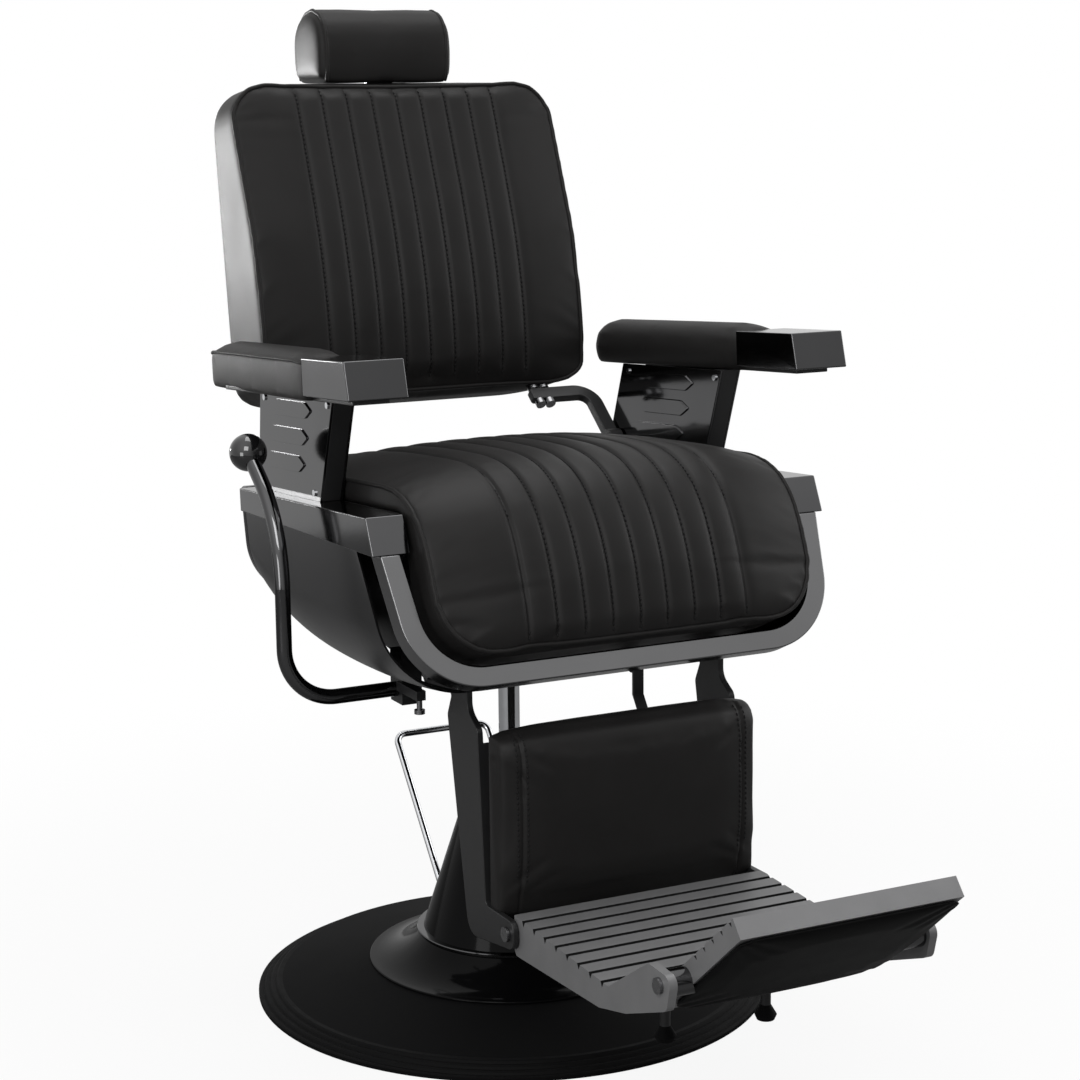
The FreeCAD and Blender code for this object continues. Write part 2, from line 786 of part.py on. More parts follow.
def make_arm_pad():
    """A crowned pad with a round rear end that toes in a little."""
    low = bracket_z + bracket_thickness
    half = pad_width / 2
    middle = pad_inner + half
    length = pad_rear - cap_rear
    bend = pad_rear - half
    wires = []
    for part in (0.0, 0.2, 0.5, 0.78, 0.86, 0.92, 0.96, 0.985, 1.0):
        y = cap_rear + part * length
        over = max(0.0, y - bend)
        wide = math.sqrt(max(0.0, half ** 2 - over ** 2)) if part < 1 else half * 0.1
        wide = max(wide, half * 0.1)
        centre = middle - pad_toe_in * part
        crown = pad_crown * min(1.0, wide / half) * (0.55 + 0.45 * math.sin(math.pi * min(1.0, part + 0.12)))
        side = low + pad_side - 0.3 * pad_side * (1 - wide / half)
        left, right = centre - wide, centre + wide
        wires.append(Part.Wire([
            Part.LineSegment(V(left, y, low), V(right, y, low)).toShape(),
            Part.LineSegment(V(right, y, low), V(right, y, side)).toShape(),
            Part.Arc(V(right, y, side), V(centre, y, side + crown), V(left, y, side)).toShape(),
            Part.LineSegment(V(left, y, side), V(left, y, low)).toShape()]))
    return lean_seat(Part.makeLoft(wires, True, True))


def make_arm_screws():
    """Screw heads at the corners of the four arm plates."""
    outer_x = arm_inner + 2 * sheet + arm_post_width
    inset = 2.5 * screw_head
    heads = []
    for rear_foot, rear_lean, x, out in ((outer_plate_rear, outer_rear_lean, outer_x, 1),
                                         (inner_plate_rear, arm_lean, arm_inner, -1)):
        corners = arm_plate_corners(rear_foot, rear_lean)
        centre_y = sum(c[0] for c in corners) / len(corners)
        for y, z, _ in corners:
            across = math.copysign(1.6 * inset, centre_y - y)
            place = V(x, y + across, z + math.copysign(inset, bracket_z / 2 - z))
            heads.append(lean_seat(cylinder(place, place + V(out * screw_proud, 0, 0), screw_head)))
    return Part.makeCompound(heads + [mirrored(head) for head in heads])


def make_back_pins():
    """Hinge pins of the back, fixed in the inner arm plates."""
    low = back_bar_x - back_bar_width / 2
    high = arm_inner + sheet
    pin = cylinder(V(low, *back_axis), V(high, *back_axis), back_pin_radius)
    return Part.makeCompound([pin, mirrored(pin)])


def back_profile(x, crown, groove, rear):
    """Section of the back cushion at x, from its board side at rear to its sewn front."""
    swell = back_front_crown * crown - stitch_groove * groove
    rise = corner_rise(x, back_half, back_corner)
    top = back_height - rise
    low = corner_rise(x, back_half, back_corner) * 0.6
    slope = (back_top_depth - back_bend_depth) / (back_height - back_bend_height)
    front_top = back_top_depth - slope * rise * 0.5
    points = [(rear, low), (rear, top), (front_top + 0.3 * swell, top),
              (back_bend_depth + swell, back_bend_height), (back_lumbar_depth + swell, back_lumbar_height),
              (back_foot_depth + 0.3 * swell, low)]
    spots = [back_point(x, w, v) for w, v in points]
    return Part.Wire([Part.LineSegment(spots[0], spots[1]).toShape(),
                      Part.LineSegment(spots[1], spots[2]).toShape(),
                      Part.LineSegment(spots[2], spots[3]).toShape(),
                      Part.Arc(spots[3], spots[4], spots[5]).toShape(),
                      Part.LineSegment(spots[5], spots[0]).toShape()])


def make_back_cushion():
    rear = back_cover_thickness + back_board_thickness
    wires = [back_profile(x, crown, groove, rear) for x, crown, groove in channel_stations(back_half)]
    return Part.makeLoft(wires, True, True)


def back_panel(rear, front, inset, corner):
    """A flat round-cornered panel of the back between two depths."""
    half = back_half - inset
    corners = [(-half, inset, corner), (half, inset, corner),
               (half, back_height - inset, corner), (-half, back_height - inset, corner)]
    outline = rounded_wire(corners, lambda p: back_point(p.x, rear, p.y))
    return Part.Face(outline).extrude(back_point(0, front, 0) - back_point(0, rear, 0))


def sleeve_block(wall, low, high):
    """The post's way through the board, widened by wall."""
    half = head_post_width / 2 + wall
    depth = head_post_thickness / 2 + wall
    middle = back_cover_thickness + back_board_thickness / 2
    spots = ((-half, -depth), (half, -depth), (half, depth), (-half, depth), (-half, -depth))
    outline = Part.makePolygon([back_point(x, middle + w, low) for x, w in spots])
    return Part.Face(outline).extrude(back_point(0, 0, high) - back_point(0, 0, low))


def make_back_board():
    """Plywood with a slot for the headrest's sleeve and post."""
    board = back_panel(back_cover_thickness, back_cover_thickness + back_board_thickness,
                       2 * back_edge_inset, back_corner)
    low = back_height - head_post_length
    return board.cut(sleeve_block(sleeve_wall, low, back_height))


def make_back_cover():
    """The padded rear panel, a little fuller at its middle."""
    flat = back_panel(back_cover_thickness, back_cover_thickness / 2, back_edge_inset / 2, back_corner)
    half = back_half - back_edge_inset / 2
    wires = []
    for depth, inset in ((back_cover_thickness / 2, 0.0), (0.0, back_edge_inset),
                         (-back_cover_crown, back_corner)):
        side = half - inset
        corner = back_corner
        corners = [(-side, back_edge_inset / 2 + inset, corner), (side, back_edge_inset / 2 + inset, corner),
                   (side, back_height - back_edge_inset / 2 - inset, corner),
                   (-side, back_height - back_edge_inset / 2 - inset, corner)]
        wires.append(rounded_wire(corners, lambda p, d=depth: back_point(p.x, d, p.y)))
    return fused([flat, Part.makeLoft(wires, True, True)])


def make_head_sleeve():
    low = back_height - 2 * back_edge_inset - sleeve_length
    high = back_height - 2 * back_edge_inset
    return sleeve_block(sleeve_wall, low, high).cut(sleeve_block(running_gap, low, high))


def make_head_post():
    low = back_height - head_post_length + head_post_in_pillow
    return sleeve_block(0, low, low + head_post_length)


def make_head_pillow():
    """A D-section roll with soft ends, slotted for its post."""
    top = back_point(0, back_cover_thickness + back_board_thickness / 2, back_height)
    centre_y = top.y + pillow_set_back
    middle_z = top.z + pillow_gap + pillow_height / 2
    deep = pillow_depth / 2
    ends = ((0.8, 1.0), (0.94, 0.97), (1.0, 0.9))
    wires = []
    for part, size in [(-part, size) for part, size in reversed(ends)] + [(0.0, 1.02)] + list(ends):
        def place(u, v, x=part * head_half, size=size):
            return V(x, centre_y + u * deep * size, middle_z + pillow_height * (v - 0.5) * size)
        front_foot, front_belly, front_top = place(-0.86, 0.0), place(-1.0, 0.42), place(-0.62, 0.86)
        crown, rear_top = place(-0.1, 1.0), place(0.42, 0.92)
        rear_belly, rear_foot = place(1.0, 0.5), place(0.82, 0.0)
        wires.append(Part.Wire([Part.Arc(front_foot, front_belly, front_top).toShape(),
                                Part.Arc(front_top, crown, rear_top).toShape(),
                                Part.Arc(rear_top, rear_belly, rear_foot).toShape(),
                                Part.LineSegment(rear_foot, front_foot).toShape()]))
    return Part.makeLoft(wires, True, True).cut(make_head_post())


def back_bar_frame(p):
    """Maps (x, up) to the plane through the pivot's axis and the foot of the back."""
    foot = back_point(0, back_bar_w, 0)
    pivot = V(0, *back_axis)
    along = (foot - pivot).normalize()
    return V(p.x, 0, 0) + pivot + along * p.y


def back_bar_reach():
    """Length of a bar's leg: its top edge stops under the foot of the back."""
    foot = back_point(0, back_bar_w, 0)
    return (foot - V(0, *back_axis)).Length - back_bar_thickness


def make_back_bar():
    """An angled flat bar: a leg up from the hinge's hub and an arm that turns in under the back."""
    top = back_bar_reach()
    out = back_bar_x + back_bar_width / 2
    inner = back_bar_x - back_bar_width / 2
    corners = [(inner, 0, 0), (out, 0, 0), (out, top, back_bar_corner), (back_bar_inner, top, 4),
               (back_bar_inner, top - back_bar_width, 4), (inner, top - back_bar_width, back_bar_corner / 3)]
    normal = (back_bar_frame(V(0, 1, 0)) - back_bar_frame(V(0, 0, 0))).cross(V(1, 0, 0)).normalize()
    flat = Part.Face(rounded_wire(corners, lambda p: back_bar_frame(p) - normal * (back_bar_thickness / 2)))
    bar = flat.extrude(normal * back_bar_thickness)
    hub = cylinder(V(inner, *back_axis), V(out, *back_axis), back_hub_radius)
    bore = cylinder(V(inner, *back_axis), V(out, *back_axis), back_pin_radius + running_gap)
    return fused([bar, hub]).cut(bore)


def back_bolt_places():
    spread = back_bar_width / 2
    return [back_bar_inner + spread, back_bar_inner + 2.5 * spread]


def make_back_bolts():
    """Spacers between the bars and the foot of the back, with the nuts of their bolts below the bars."""
    top = back_bar_reach()
    rim = [back_point(x, w, -clear_gap) for x, w in ((-beyond, -beyond), (beyond, -beyond),
                                                     (beyond, beyond), (-beyond, beyond), (-beyond, -beyond))]
    above = Part.Face(Part.makePolygon(rim)).extrude(back_point(0, 0, beyond) - back_point(0, 0, 0))
    bolts = []
    for x in back_bolt_places():
        seat = back_bar_frame(V(x, top, 0))
        along = (back_point(x, back_bar_w, 0) - seat).normalize()
        spacer = cylinder(seat, seat + along * 2 * back_bar_thickness, 2 * back_bolt_radius).cut(above)
        under = seat - along * back_bar_width
        nut = cylinder(under - along * 2 * back_bolt_radius, under, 1.8 * back_bolt_radius)
        bolts += [spacer, nut]
    return Part.makeCompound(bolts + [mirrored(bolt) for bolt in bolts])


# Crank angles: at mid travel both cranks stand square to the link
axis_step = V(back_axis[0] - leg_pivot_y, back_axis[1] - leg_pivot_z, 0)
square_angle = math.atan2(axis_step.y, axis_step.x)
square_angle -= math.acos((leg_crank - back_crank) / axis_step.Length)
back_crank_angle = square_angle + math.radians(back_recline / 2)
leg_crank_angle = square_angle + math.radians(back_recline * leg_share / 2)
back_crank_pin = (back_axis[0] + back_crank * math.cos(back_crank_angle),
                  back_axis[1] + back_crank * math.sin(back_crank_angle))
leg_crank_pin = (leg_pivot_y + leg_crank * math.cos(leg_crank_angle),
                 leg_pivot_z + leg_crank * math.sin(leg_crank_angle))


def crank_arm(axis, pin):
    """A flat crank with a round end at its shaft and one that carries the link's pin."""
    low, high = crank_x, crank_x + crank_plate
    ends = [cylinder(V(low, *spot), V(high, *spot), radius)
            for spot, radius in ((axis, back_shaft_radius + 4), (pin, crank_eye))]
    along = V(0, pin[0] - axis[0], pin[1] - axis[1]).normalize()
    side = V(1, 0, 0).cross(along) * crank_eye
    start, end = V(low, *axis), V(low, *pin)
    web = Part.Face(Part.makePolygon([start - side, start + side, end + side, end - side, start - side]))
    stub = cylinder(V(high, *pin), V(high + crank_plate + 2 * clear_gap + 2, *pin), link_pin_radius)
    return ends + [web.extrude(V(crank_plate, 0, 0)), stub]


def make_back_shaft():
    """The tube that ties the two bars together, with the crank of the leg rest's link."""
    reach = back_bar_x - back_bar_width / 2
    shaft = cylinder(V(-reach, *back_axis), V(reach, *back_axis), back_shaft_radius)
    return fused([shaft] + crank_arm(back_axis, back_crank_pin))


def make_leg_shaft():
    """The leg rest's pivot shaft, with its crank and a bent strap that runs down behind the pad."""
    reach = leg_outer - leg_plate
    shaft = cylinder(V(-reach, *leg_axis), V(reach, *leg_axis), leg_shaft_radius)
    foot, bend = leg_pivot_z - strap_foot, leg_pivot_z - strap_bend
    knee, top = leg_pivot_z - strap_knee, leg_pivot_z + strap_rise
    thick = strap_thickness
    face = leg_front_edge(knee) + strap_set
    line = [(leg_front_edge(foot), foot), (leg_front_edge(bend), bend), (face, knee), (face, top)]
    corners = [(y, z, 0) for y, z in line] + [(leg_pivot_y, leg_pivot_z + thick, 0), (*leg_axis, 0)]
    corners += [(face + thick, top - 2 * thick, 0)] + [(y + thick, z, 0) for y, z in reversed(line[:3])]
    strap = plate_x(corners, strap_x - strap_width / 2, strap_x + strap_width / 2)
    return fused([shaft, strap] + crank_arm(leg_axis, leg_crank_pin))


def link_span(room):
    """The link's place across the chair, widened by room on both sides."""
    low = crank_x + crank_plate + clear_gap
    return low - room, low + crank_plate + room


def make_recline_link():
    """A flat link with a running hole at the back's crank and an open hole at the leg's crank."""
    low, high = link_span(0)
    eye = link_pin_radius + 3.5
    pieces = [cylinder(V(low, *spot), V(high, *spot), eye) for spot in (back_crank_pin, leg_crank_pin)]
    first, last = V(low, *back_crank_pin), V(low, *leg_crank_pin)
    side = V(1, 0, 0).cross((last - first).normalize()) * link_half
    strip = Part.makePolygon([first - side, first + side, last + side, last - side, first - side])
    link = fused(pieces + [Part.Face(strip).extrude(V(high - low, 0, 0))])
    for spot, gap in ((back_crank_pin, running_gap), (leg_crank_pin, link_open_gap)):
        link = link.cut(cylinder(V(low, *spot), V(high, *spot), link_pin_radius + gap))
    return link


def leg_front_edge(z):
    """Front edge of the leg rest's arms, which leans a little."""
    return leg_pivot_y - leg_front_reach - (leg_pivot_z - z) * leg_front_slope


def make_leg_arm():
    """A pressed arm from the pivot down to the foot lug, with a stiffening flange in front."""
    outer, inner = leg_outer, leg_outer - leg_plate
    lug_top, lug_low = foot_pivot_z + leg_lug_rise, foot_pivot_z - leg_lug_drop
    lug_front = foot_pivot_y - leg_lug_front
    heel = leg_front_edge(lug_low) + leg_heel
    chest = leg_pivot_z - leg_bulge_drop
    top = leg_pivot_z + leg_top_rise
    corners = [(leg_pivot_y + leg_eye, leg_pivot_z + leg_eye * 0.7, leg_eye * 0.6),
               (leg_pivot_y + leg_eye, leg_pivot_z - leg_eye, leg_eye * 0.6),
               (leg_pivot_y - leg_neck, leg_pivot_z - leg_neck_drop, 4),
               (leg_pivot_y - leg_bulge, chest, 12),
               (heel, lug_low - leg_lug_rise, 24), (lug_front, lug_low, 14), (lug_front, lug_top, 14),
               (leg_front_edge(lug_top), lug_top, 6), (leg_front_edge(chest), chest, 12),
               (leg_pivot_y - leg_shoulder, leg_pivot_z - leg_shoulder_drop, 20),
               (leg_pivot_y - leg_shoulder, top, 12)]
    plate = plate_x(corners, inner, outer)
    high, low = leg_pivot_z - leg_flange_drop, lug_top + 10
    edge = [(leg_front_edge(low), low), (leg_front_edge(high), high)]
    strip = [(y, z, 0) for y, z in edge] + [(y + leg_plate / 2, z, 0) for y, z in reversed(edge)]
    arm = fused([plate, plate_x(strip, outer - leg_flange, outer)])
    return arm.cut(cylinder(V(inner, *foot_axis), V(outer, *foot_axis), foot_bolt_radius + running_gap))


def make_leg_bolts():
    """Round-headed bolts that close the ends of the leg rest's pivot."""
    head = cylinder(V(leg_outer, *leg_axis), V(leg_outer + leg_bolt_head, *leg_axis), leg_shaft_radius)
    return Part.makeCompound([head, mirrored(head)])


def make_leg_pad_board():
    """Plywood behind the pad, screwed to the flanges of the arms."""
    top, low = pad_top_z - pad_edge_radius, pad_bottom_z + pad_board_rise
    half = pad_half - pad_board_inset
    front = pad_front_y + pad_depth
    return plate_x([(leg_front_edge(low), low, 0), (leg_front_edge(top), top, 0),
                    (front, top, 0), (front, low, 0)], -half, half)


def make_leg_pad():
    """A thick pad, crowned in front, with soft edges and a heel drawn back from the footplate."""
    sides = ((0.7, 0.85), (0.94, 0.5), (1.0, 0.0))
    wires = []
    for part, crown in [(-part, crown) for part, crown in reversed(sides)] + [(0.0, 1.0)] + list(sides):
        front = pad_front_y + pad_front_crown - 2 * pad_front_crown * crown
        draw = 4 * (1 - crown)
        rear = pad_front_y + pad_depth
        low, high = pad_bottom_z + draw, pad_top_z - draw
        heel = pad_front_y - pad_front_crown + pad_heel
        corners = [(rear, low, 3), (rear, high, 6), (front, high, pad_edge_radius),
                   (front, low + pad_heel_rise, pad_edge_radius * 0.7), (heel, low, 5)]
        wires.append(rounded_wire(corners, on_x(part * pad_half)))
    return Part.makeLoft(wires, True, True)


def foot_ribs():
    """The saw-tooth upper line of the footplate, from rear to front."""
    pitch = (foot_valley_y - foot_rear) / rib_count
    fall = (foot_valley_z - foot_rear_top) / rib_count
    line = []
    for i in range(rib_count):
        start_y, start_z = foot_rear + i * pitch, foot_rear_top + i * fall
        line += [(start_y, start_z, 0), (start_y + pitch * 0.72, start_z + fall, 0),
                 (start_y + pitch * 0.86, start_z + fall - rib_depth, 0)]
    return line + [(foot_valley_y, foot_valley_z, 0)]


def deck_ends():
    """Rear and front ends of the flat underside of the footplate's deck."""
    return ((foot_rear - foot_wall, foot_rear_top - rib_depth - foot_deck_rear),
            (foot_end + foot_wall, foot_valley_z - rib_depth - foot_deck_front))


def make_foot_plate():
    """A cast tray with saw-tooth ribs, hollow below, with two lugs for the flip plate's hinge."""
    toe = (foot_end + foot_toe, foot_bottom + foot_toe_rise, 0)
    chin = foot_bottom + foot_chin
    belly = [(foot_end, foot_valley_z, 0), (foot_end, chin, 14), toe, (foot_rear, foot_bottom, 8)]
    tray = plate_x(foot_ribs() + belly, -foot_half, foot_half)
    rear, front = deck_ends()
    below = foot_bottom - foot_chin
    hollow = plate_x([(*rear, 0), (*front, 0), (front[0], below, 0), (rear[0], below, 0)],
                     -foot_half + lug_width, foot_half - lug_width)
    lug = plate_x([(foot_end + lug_root, foot_valley_z, 0),
                   (flip_hinge_y + lug_nose, flip_hinge_z + lug_nose * 0.7, 10),
                   (flip_hinge_y - lug_nose, flip_hinge_z + lug_nose * 0.6, 12),
                   (flip_hinge_y - lug_nose * 0.6, flip_hinge_z - lug_nose, 12),
                   (foot_end, chin, 20), toe], foot_half - lug_width, foot_half)
    plate = fused([tray.cut(hollow), lug, mirrored(lug)])
    pivot = cylinder(V(-foot_half, *foot_axis), V(foot_half, *foot_axis), foot_bolt_radius)
    pin = cylinder(V(-foot_half, *flip_axis), V(foot_half, *flip_axis), flip_pin_radius)
    return plate.cut(pivot).cut(pin)


def flip_point(x, d, n):
    """A point of the flip plate: d up its slope from the hinge, n out of its ribbed face."""
    turn = math.radians(flip_lean)
    return V(x, flip_hinge_y - d * math.cos(turn) + n * math.sin(turn),
             flip_hinge_z + d * math.sin(turn) + n * math.cos(turn))


def make_flip_plate():
    """The ribbed metal half of the flip plate, with the barrels of its hinge."""
    pitch = flip_long / (flip_ribs + 1)
    line = [(flip_pin_radius + pitch / 2, flip_face)]
    for i in range(flip_ribs):
        start = flip_pin_radius + pitch / 2 + i * pitch
        line += [(start + pitch * 0.72, flip_face), (start + pitch * 0.86, flip_face - rib_depth),
                 (start + pitch, flip_face)]
    outline = [(-flip_short, flip_face - flip_metal), (-flip_short, flip_face)] + line
    outline += [(flip_long, flip_face), (flip_long, flip_face - flip_metal)]
    spots = [flip_point(-flip_half, d, n) for d, n in outline]
    plate = Part.Face(Part.makePolygon(spots + spots[:1])).extrude(V(2 * flip_half, 0, 0))
    reach = foot_half - lug_width - clear_gap
    barrel = cylinder(V(flip_half - flip_barrel_length, *flip_axis), V(reach, *flip_axis), flip_barrel_radius)
    pin = cylinder(V(-reach, *flip_axis), V(reach, *flip_axis), flip_pin_radius + running_gap)
    return fused([plate, barrel, mirrored(barrel)]).cut(pin)


def make_flip_pad():
    """The upholstered half, crowned a little, with round lower corners."""
    top = flip_face - flip_metal
    wires = []
    for depth, inset in ((top, 0.0), (top - flip_pad_depth * 0.6, 0.0), (top - flip_pad_depth, 8.0)):
        half, low, high = flip_half - inset, -flip_short + inset, flip_long - inset
        corners = [(-half, low, 30), (half, low, 30), (half, high, 8), (-half, high, 8)]
        wires.append(rounded_wire(corners, lambda p, n=depth: flip_point(p.x, p.y, n)))
    pad = Part.makeLoft(wires, True, True)
    inner = flip_half - flip_barrel_length - clear_gap
    room = cylinder(V(inner, *flip_axis), V(foot_half, *flip_axis), flip_barrel_radius)
    bore = cylinder(V(-foot_half, *flip_axis), V(foot_half, *flip_axis), flip_pin_radius + clear_gap)
    return pad.cut(room).cut(mirrored(room)).cut(bore)


def make_flip_pins():
    """Hinge pins with round heads, fixed in the footplate's lugs."""
    inner, outer = flip_half - flip_barrel_length, foot_half + foot_bolt_head
    pin = cylinder(V(inner, *flip_axis), V(outer, *flip_axis), flip_pin_radius)
    head = cylinder(V(foot_half, *flip_axis), V(outer, *flip_axis), flip_pin_radius * 1.5)
    bolt = fused([pin, head])
    return Part.makeCompound([bolt, mirrored(bolt)])


def make_foot_bolts():
    """Pivot bolts of the footplate, with heads outside the leg arms."""
    inner, outer = foot_half - lug_width, leg_outer + foot_bolt_head
    bolt = cylinder(V(inner, *foot_axis), V(outer, *foot_axis), foot_bolt_radius)
    head = cylinder(V(leg_outer + clear_gap, *foot_axis), V(outer, *foot_axis), foot_bolt_radius * 1.5)
    whole = fused([bolt, head])
    return Part.makeCompound([whole, mirrored(whole)])


def bumper_top():
    """Underside of the footplate's deck above the bumpers."""
    rear, front = deck_ends()
    slope = (front[1] - rear[1]) / (front[0] - rear[0])
    return rear[1] + (bumper_y - rear[0]) * slope - slope * stem_radius


def make_bumper_stems():
    foot = V(bumper_x, bumper_y, bumper_z + bumper_height)
    stem = cylinder(foot, V(bumper_x, bumper_y, bumper_top()), stem_radius)
    return Part.makeCompound([stem, mirrored(stem)])


def make_foot_bumpers():
    """Mushroom-shaped rubber feet."""
    foot = V(bumper_x, bumper_y, bumper_z)
    brim = V(0, 0, bumper_height / 3)
    dome = Part.makeCone(bumper_radius * 0.8, bumper_radius, brim.z, foot)
    neck = Part.makeCone(bumper_radius, stem_radius, bumper_height - brim.z, foot + brim)
    bumper = fused([dome, neck])
    return Part.makeCompound([bumper, mirrored(bumper)])


def lever_tip_points():
    """Corner and end of the lever's neck, which bends back from its straight stretch."""
    turn = math.radians(lever_neck_turn)
    corner = V(lever_x, lever_y, lever_straight_top + lever_neck * math.tan(turn / 2))
    along = V(0, math.sin(turn), math.cos(turn))
    return corner, corner + along * (lever_neck * math.tan(turn / 2) + lever_tip), along


def make_lever_rod():
    """One bent rod: its cross part turns in the bracket, the rest is the handle."""
    corner, tip, _ = lever_tip_points()
    points = [V(lever_inner_x, lever_y, lever_z), V(lever_x, lever_y, lever_z), corner, tip]
    return swept_rod(points, [lever_bend, lever_neck], lever_rod_radius)


def make_lever_knob():
    _, tip, along = lever_tip_points()
    centre = tip + along * math.sqrt(knob_radius ** 2 - lever_rod_radius ** 2)
    ball = Part.makeSphere(knob_radius, centre)
    return ball.cut(cylinder(tip - along * knob_radius, tip, lever_rod_radius))


def make_lever_bracket():
    """A block on the frame's side plate that the lever turns in, with a finger for the adjusting screw."""
    low, high = -frame_side - 1.5 * lever_block, -frame_side
    block = box(low, high, lever_y - lever_block, lever_y + lever_block, lever_z - lever_block, piston_top)
    finger = box(low - 4, low + 8, lever_y - lever_finger, lever_y - lever_block / 2, lever_z, lever_z + 12)
    bore = cylinder(V(low - 4, lever_y, lever_z), V(high, lever_y, lever_z), lever_rod_radius + running_gap)
    return fused([block, finger]).cut(bore)


def make_lever_screw():
    """The adjusting screw under the bracket's finger, with a round head below."""
    top = V(-frame_side - 1.5 * lever_block + 2, lever_y - lever_finger + 6, lever_z)
    head_top = top - V(0, 0, 3.5 * lever_screw_radius)
    stem = cylinder(head_top, top, lever_screw_radius)
    head = cylinder(head_top - V(0, 0, 1.5 * lever_screw_radius), head_top, 1.9 * lever_screw_radius)
    return fused([stem, head])


def make_nodes():
    outer_low = arm_inner + sheet + arm_post_width
    nodes = {
        "base_plate": make_base_plate(), "base_rim": make_base_rim(), "base_cover": make_base_cover(),
        "base_skirt": make_base_skirt(), "shroud_ring": make_shroud_ring(), "pump_shroud": make_pump_shroud(),
        "shroud_cap": make_shroud_cap(), "pump_cylinder": make_pump_cylinder(),
        "pump_bolts": make_pump_bolts(), "pump_pedal": make_pump_pedal(), "pump_piston": make_piston(),
        "swivel_washer": make_swivel_washer(),
        "underframe": make_underframe(), "seat_board": make_seat_board(), "seat_cushion": make_seat_cushion(),
        "seat_shell": make_seat_shell(), "front_band": make_front_band(), "rear_panel": make_rear_panel(),
        "arm_screws": make_arm_screws(), "back_hinge_pins": make_back_pins(),
        "back_cushion": make_back_cushion(), "back_board": make_back_board(), "back_cover": make_back_cover(),
        "back_shaft": make_back_shaft(), "back_bolts": make_back_bolts(), "head_sleeve": make_head_sleeve(),
        "head_post": make_head_post(), "head_pillow": make_head_pillow(),
        "leg_shaft": make_leg_shaft(), "leg_bolts": make_leg_bolts(), "leg_pad": make_leg_pad(),
        "leg_pad_board": make_leg_pad_board(), "recline_link": make_recline_link(),
        "foot_plate": make_foot_plate(), "foot_bolts": make_foot_bolts(), "bumper_stems": make_bumper_stems(),
        "foot_bumpers": make_foot_bumpers(), "flip_plate": make_flip_plate(), "flip_pad": make_flip_pad(),
        "flip_pins": make_flip_pins(), "lever_rod": make_lever_rod(), "lever_knob": make_lever_knob(),
        "lever_bracket": make_lever_bracket(), "lever_screw": make_lever_screw(),
    }
    paired = {
        "side_rail": make_rail(), "arm_post": make_arm_post(), "arm_cap": make_arm_cap(),
        "arm_pad": make_arm_pad(), "back_bar": make_back_bar(), "leg_arm": make_leg_arm(),
        "arm_outer_plate": make_arm_plate(outer_low, outer_plate_rear, outer_rear_lean, 1, False),
        "arm_inner_plate": make_arm_plate(arm_inner, inner_plate_rear, arm_lean, -1, True),
    }
    for name, shape in paired.items():
        nodes[name + "_left"] = shape
        nodes[name + "_right"] = mirrored(shape)
    return nodes


os.makedirs("parts", exist_ok=True)
for name, shape in make_nodes().items():
    shape.exportStep("parts/" + name + ".step")
    print(name, len(shape.Solids), round(shape.Volume), shape.isValid())
print("back axis", back_axis, "back crank pin", back_crank_pin, "leg crank pin", leg_crank_pin)
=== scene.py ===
import json
import math
import bmesh
import bpy
from mathutils import Matrix, Vector
from mathutils.bvhtree import BVHTree

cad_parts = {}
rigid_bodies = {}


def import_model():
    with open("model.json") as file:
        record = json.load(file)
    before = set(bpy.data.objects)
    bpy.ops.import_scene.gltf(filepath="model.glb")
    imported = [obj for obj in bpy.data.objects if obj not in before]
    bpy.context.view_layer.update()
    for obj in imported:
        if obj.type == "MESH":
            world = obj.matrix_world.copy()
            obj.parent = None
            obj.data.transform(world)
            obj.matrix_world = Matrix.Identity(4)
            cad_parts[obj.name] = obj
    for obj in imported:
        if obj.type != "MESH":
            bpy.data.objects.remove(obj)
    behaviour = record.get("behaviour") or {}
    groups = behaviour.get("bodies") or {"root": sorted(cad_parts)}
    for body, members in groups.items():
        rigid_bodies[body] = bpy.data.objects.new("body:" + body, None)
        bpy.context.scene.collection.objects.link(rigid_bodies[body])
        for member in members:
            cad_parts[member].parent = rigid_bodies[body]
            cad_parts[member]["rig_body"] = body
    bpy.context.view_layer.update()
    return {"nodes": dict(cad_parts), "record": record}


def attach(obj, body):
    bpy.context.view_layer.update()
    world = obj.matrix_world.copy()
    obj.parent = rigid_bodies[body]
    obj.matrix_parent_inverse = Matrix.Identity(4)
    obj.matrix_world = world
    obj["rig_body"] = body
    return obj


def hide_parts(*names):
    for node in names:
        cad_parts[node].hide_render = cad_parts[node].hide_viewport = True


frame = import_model()
nodes = frame["nodes"]
scene = bpy.context.scene
scene.view_settings.view_transform = "Standard"


class Shade:
    # wraps a socket, so that shader maths is written as plain expressions
    def __init__(self, tree, socket=None):
        self.tree = tree
        self.socket = socket

    def node(self, kind, settings=None, inputs=None, out=0):
        made = self.tree.nodes.new(kind)
        for key, value in (settings or {}).items():
            if key == "stops":
                while len(made.color_ramp.elements) < len(value):
                    made.color_ramp.elements.new(0.5)
                for element, (place, tone) in zip(made.color_ramp.elements, value):
                    element.position = place
                    element.color = (*tone, 1) if isinstance(tone, tuple) else (tone, tone, tone, 1)
            else:
                setattr(made, key, value)
        for key, value in (inputs or {}).items():
            if isinstance(value, Shade):
                self.tree.links.new(value.socket, made.inputs[key])
            else:
                made.inputs[key].default_value = value
        return Shade(self.tree, made.outputs[out] if len(made.outputs) else None)

    def maths(self, operation, first, second):
        return self.node("ShaderNodeMath", {"operation": operation}, {0: first, 1: second})

    def __add__(self, other):
        return self.maths("ADD", self, other)

    def __radd__(self, other):
        return self.maths("ADD", other, self)

    def __rsub__(self, other):
        return self.maths("SUBTRACT", other, self)

    def __mul__(self, other):
        return self.maths("MULTIPLY", self, other)

    def __pow__(self, other):
        return self.maths("POWER", self, other)


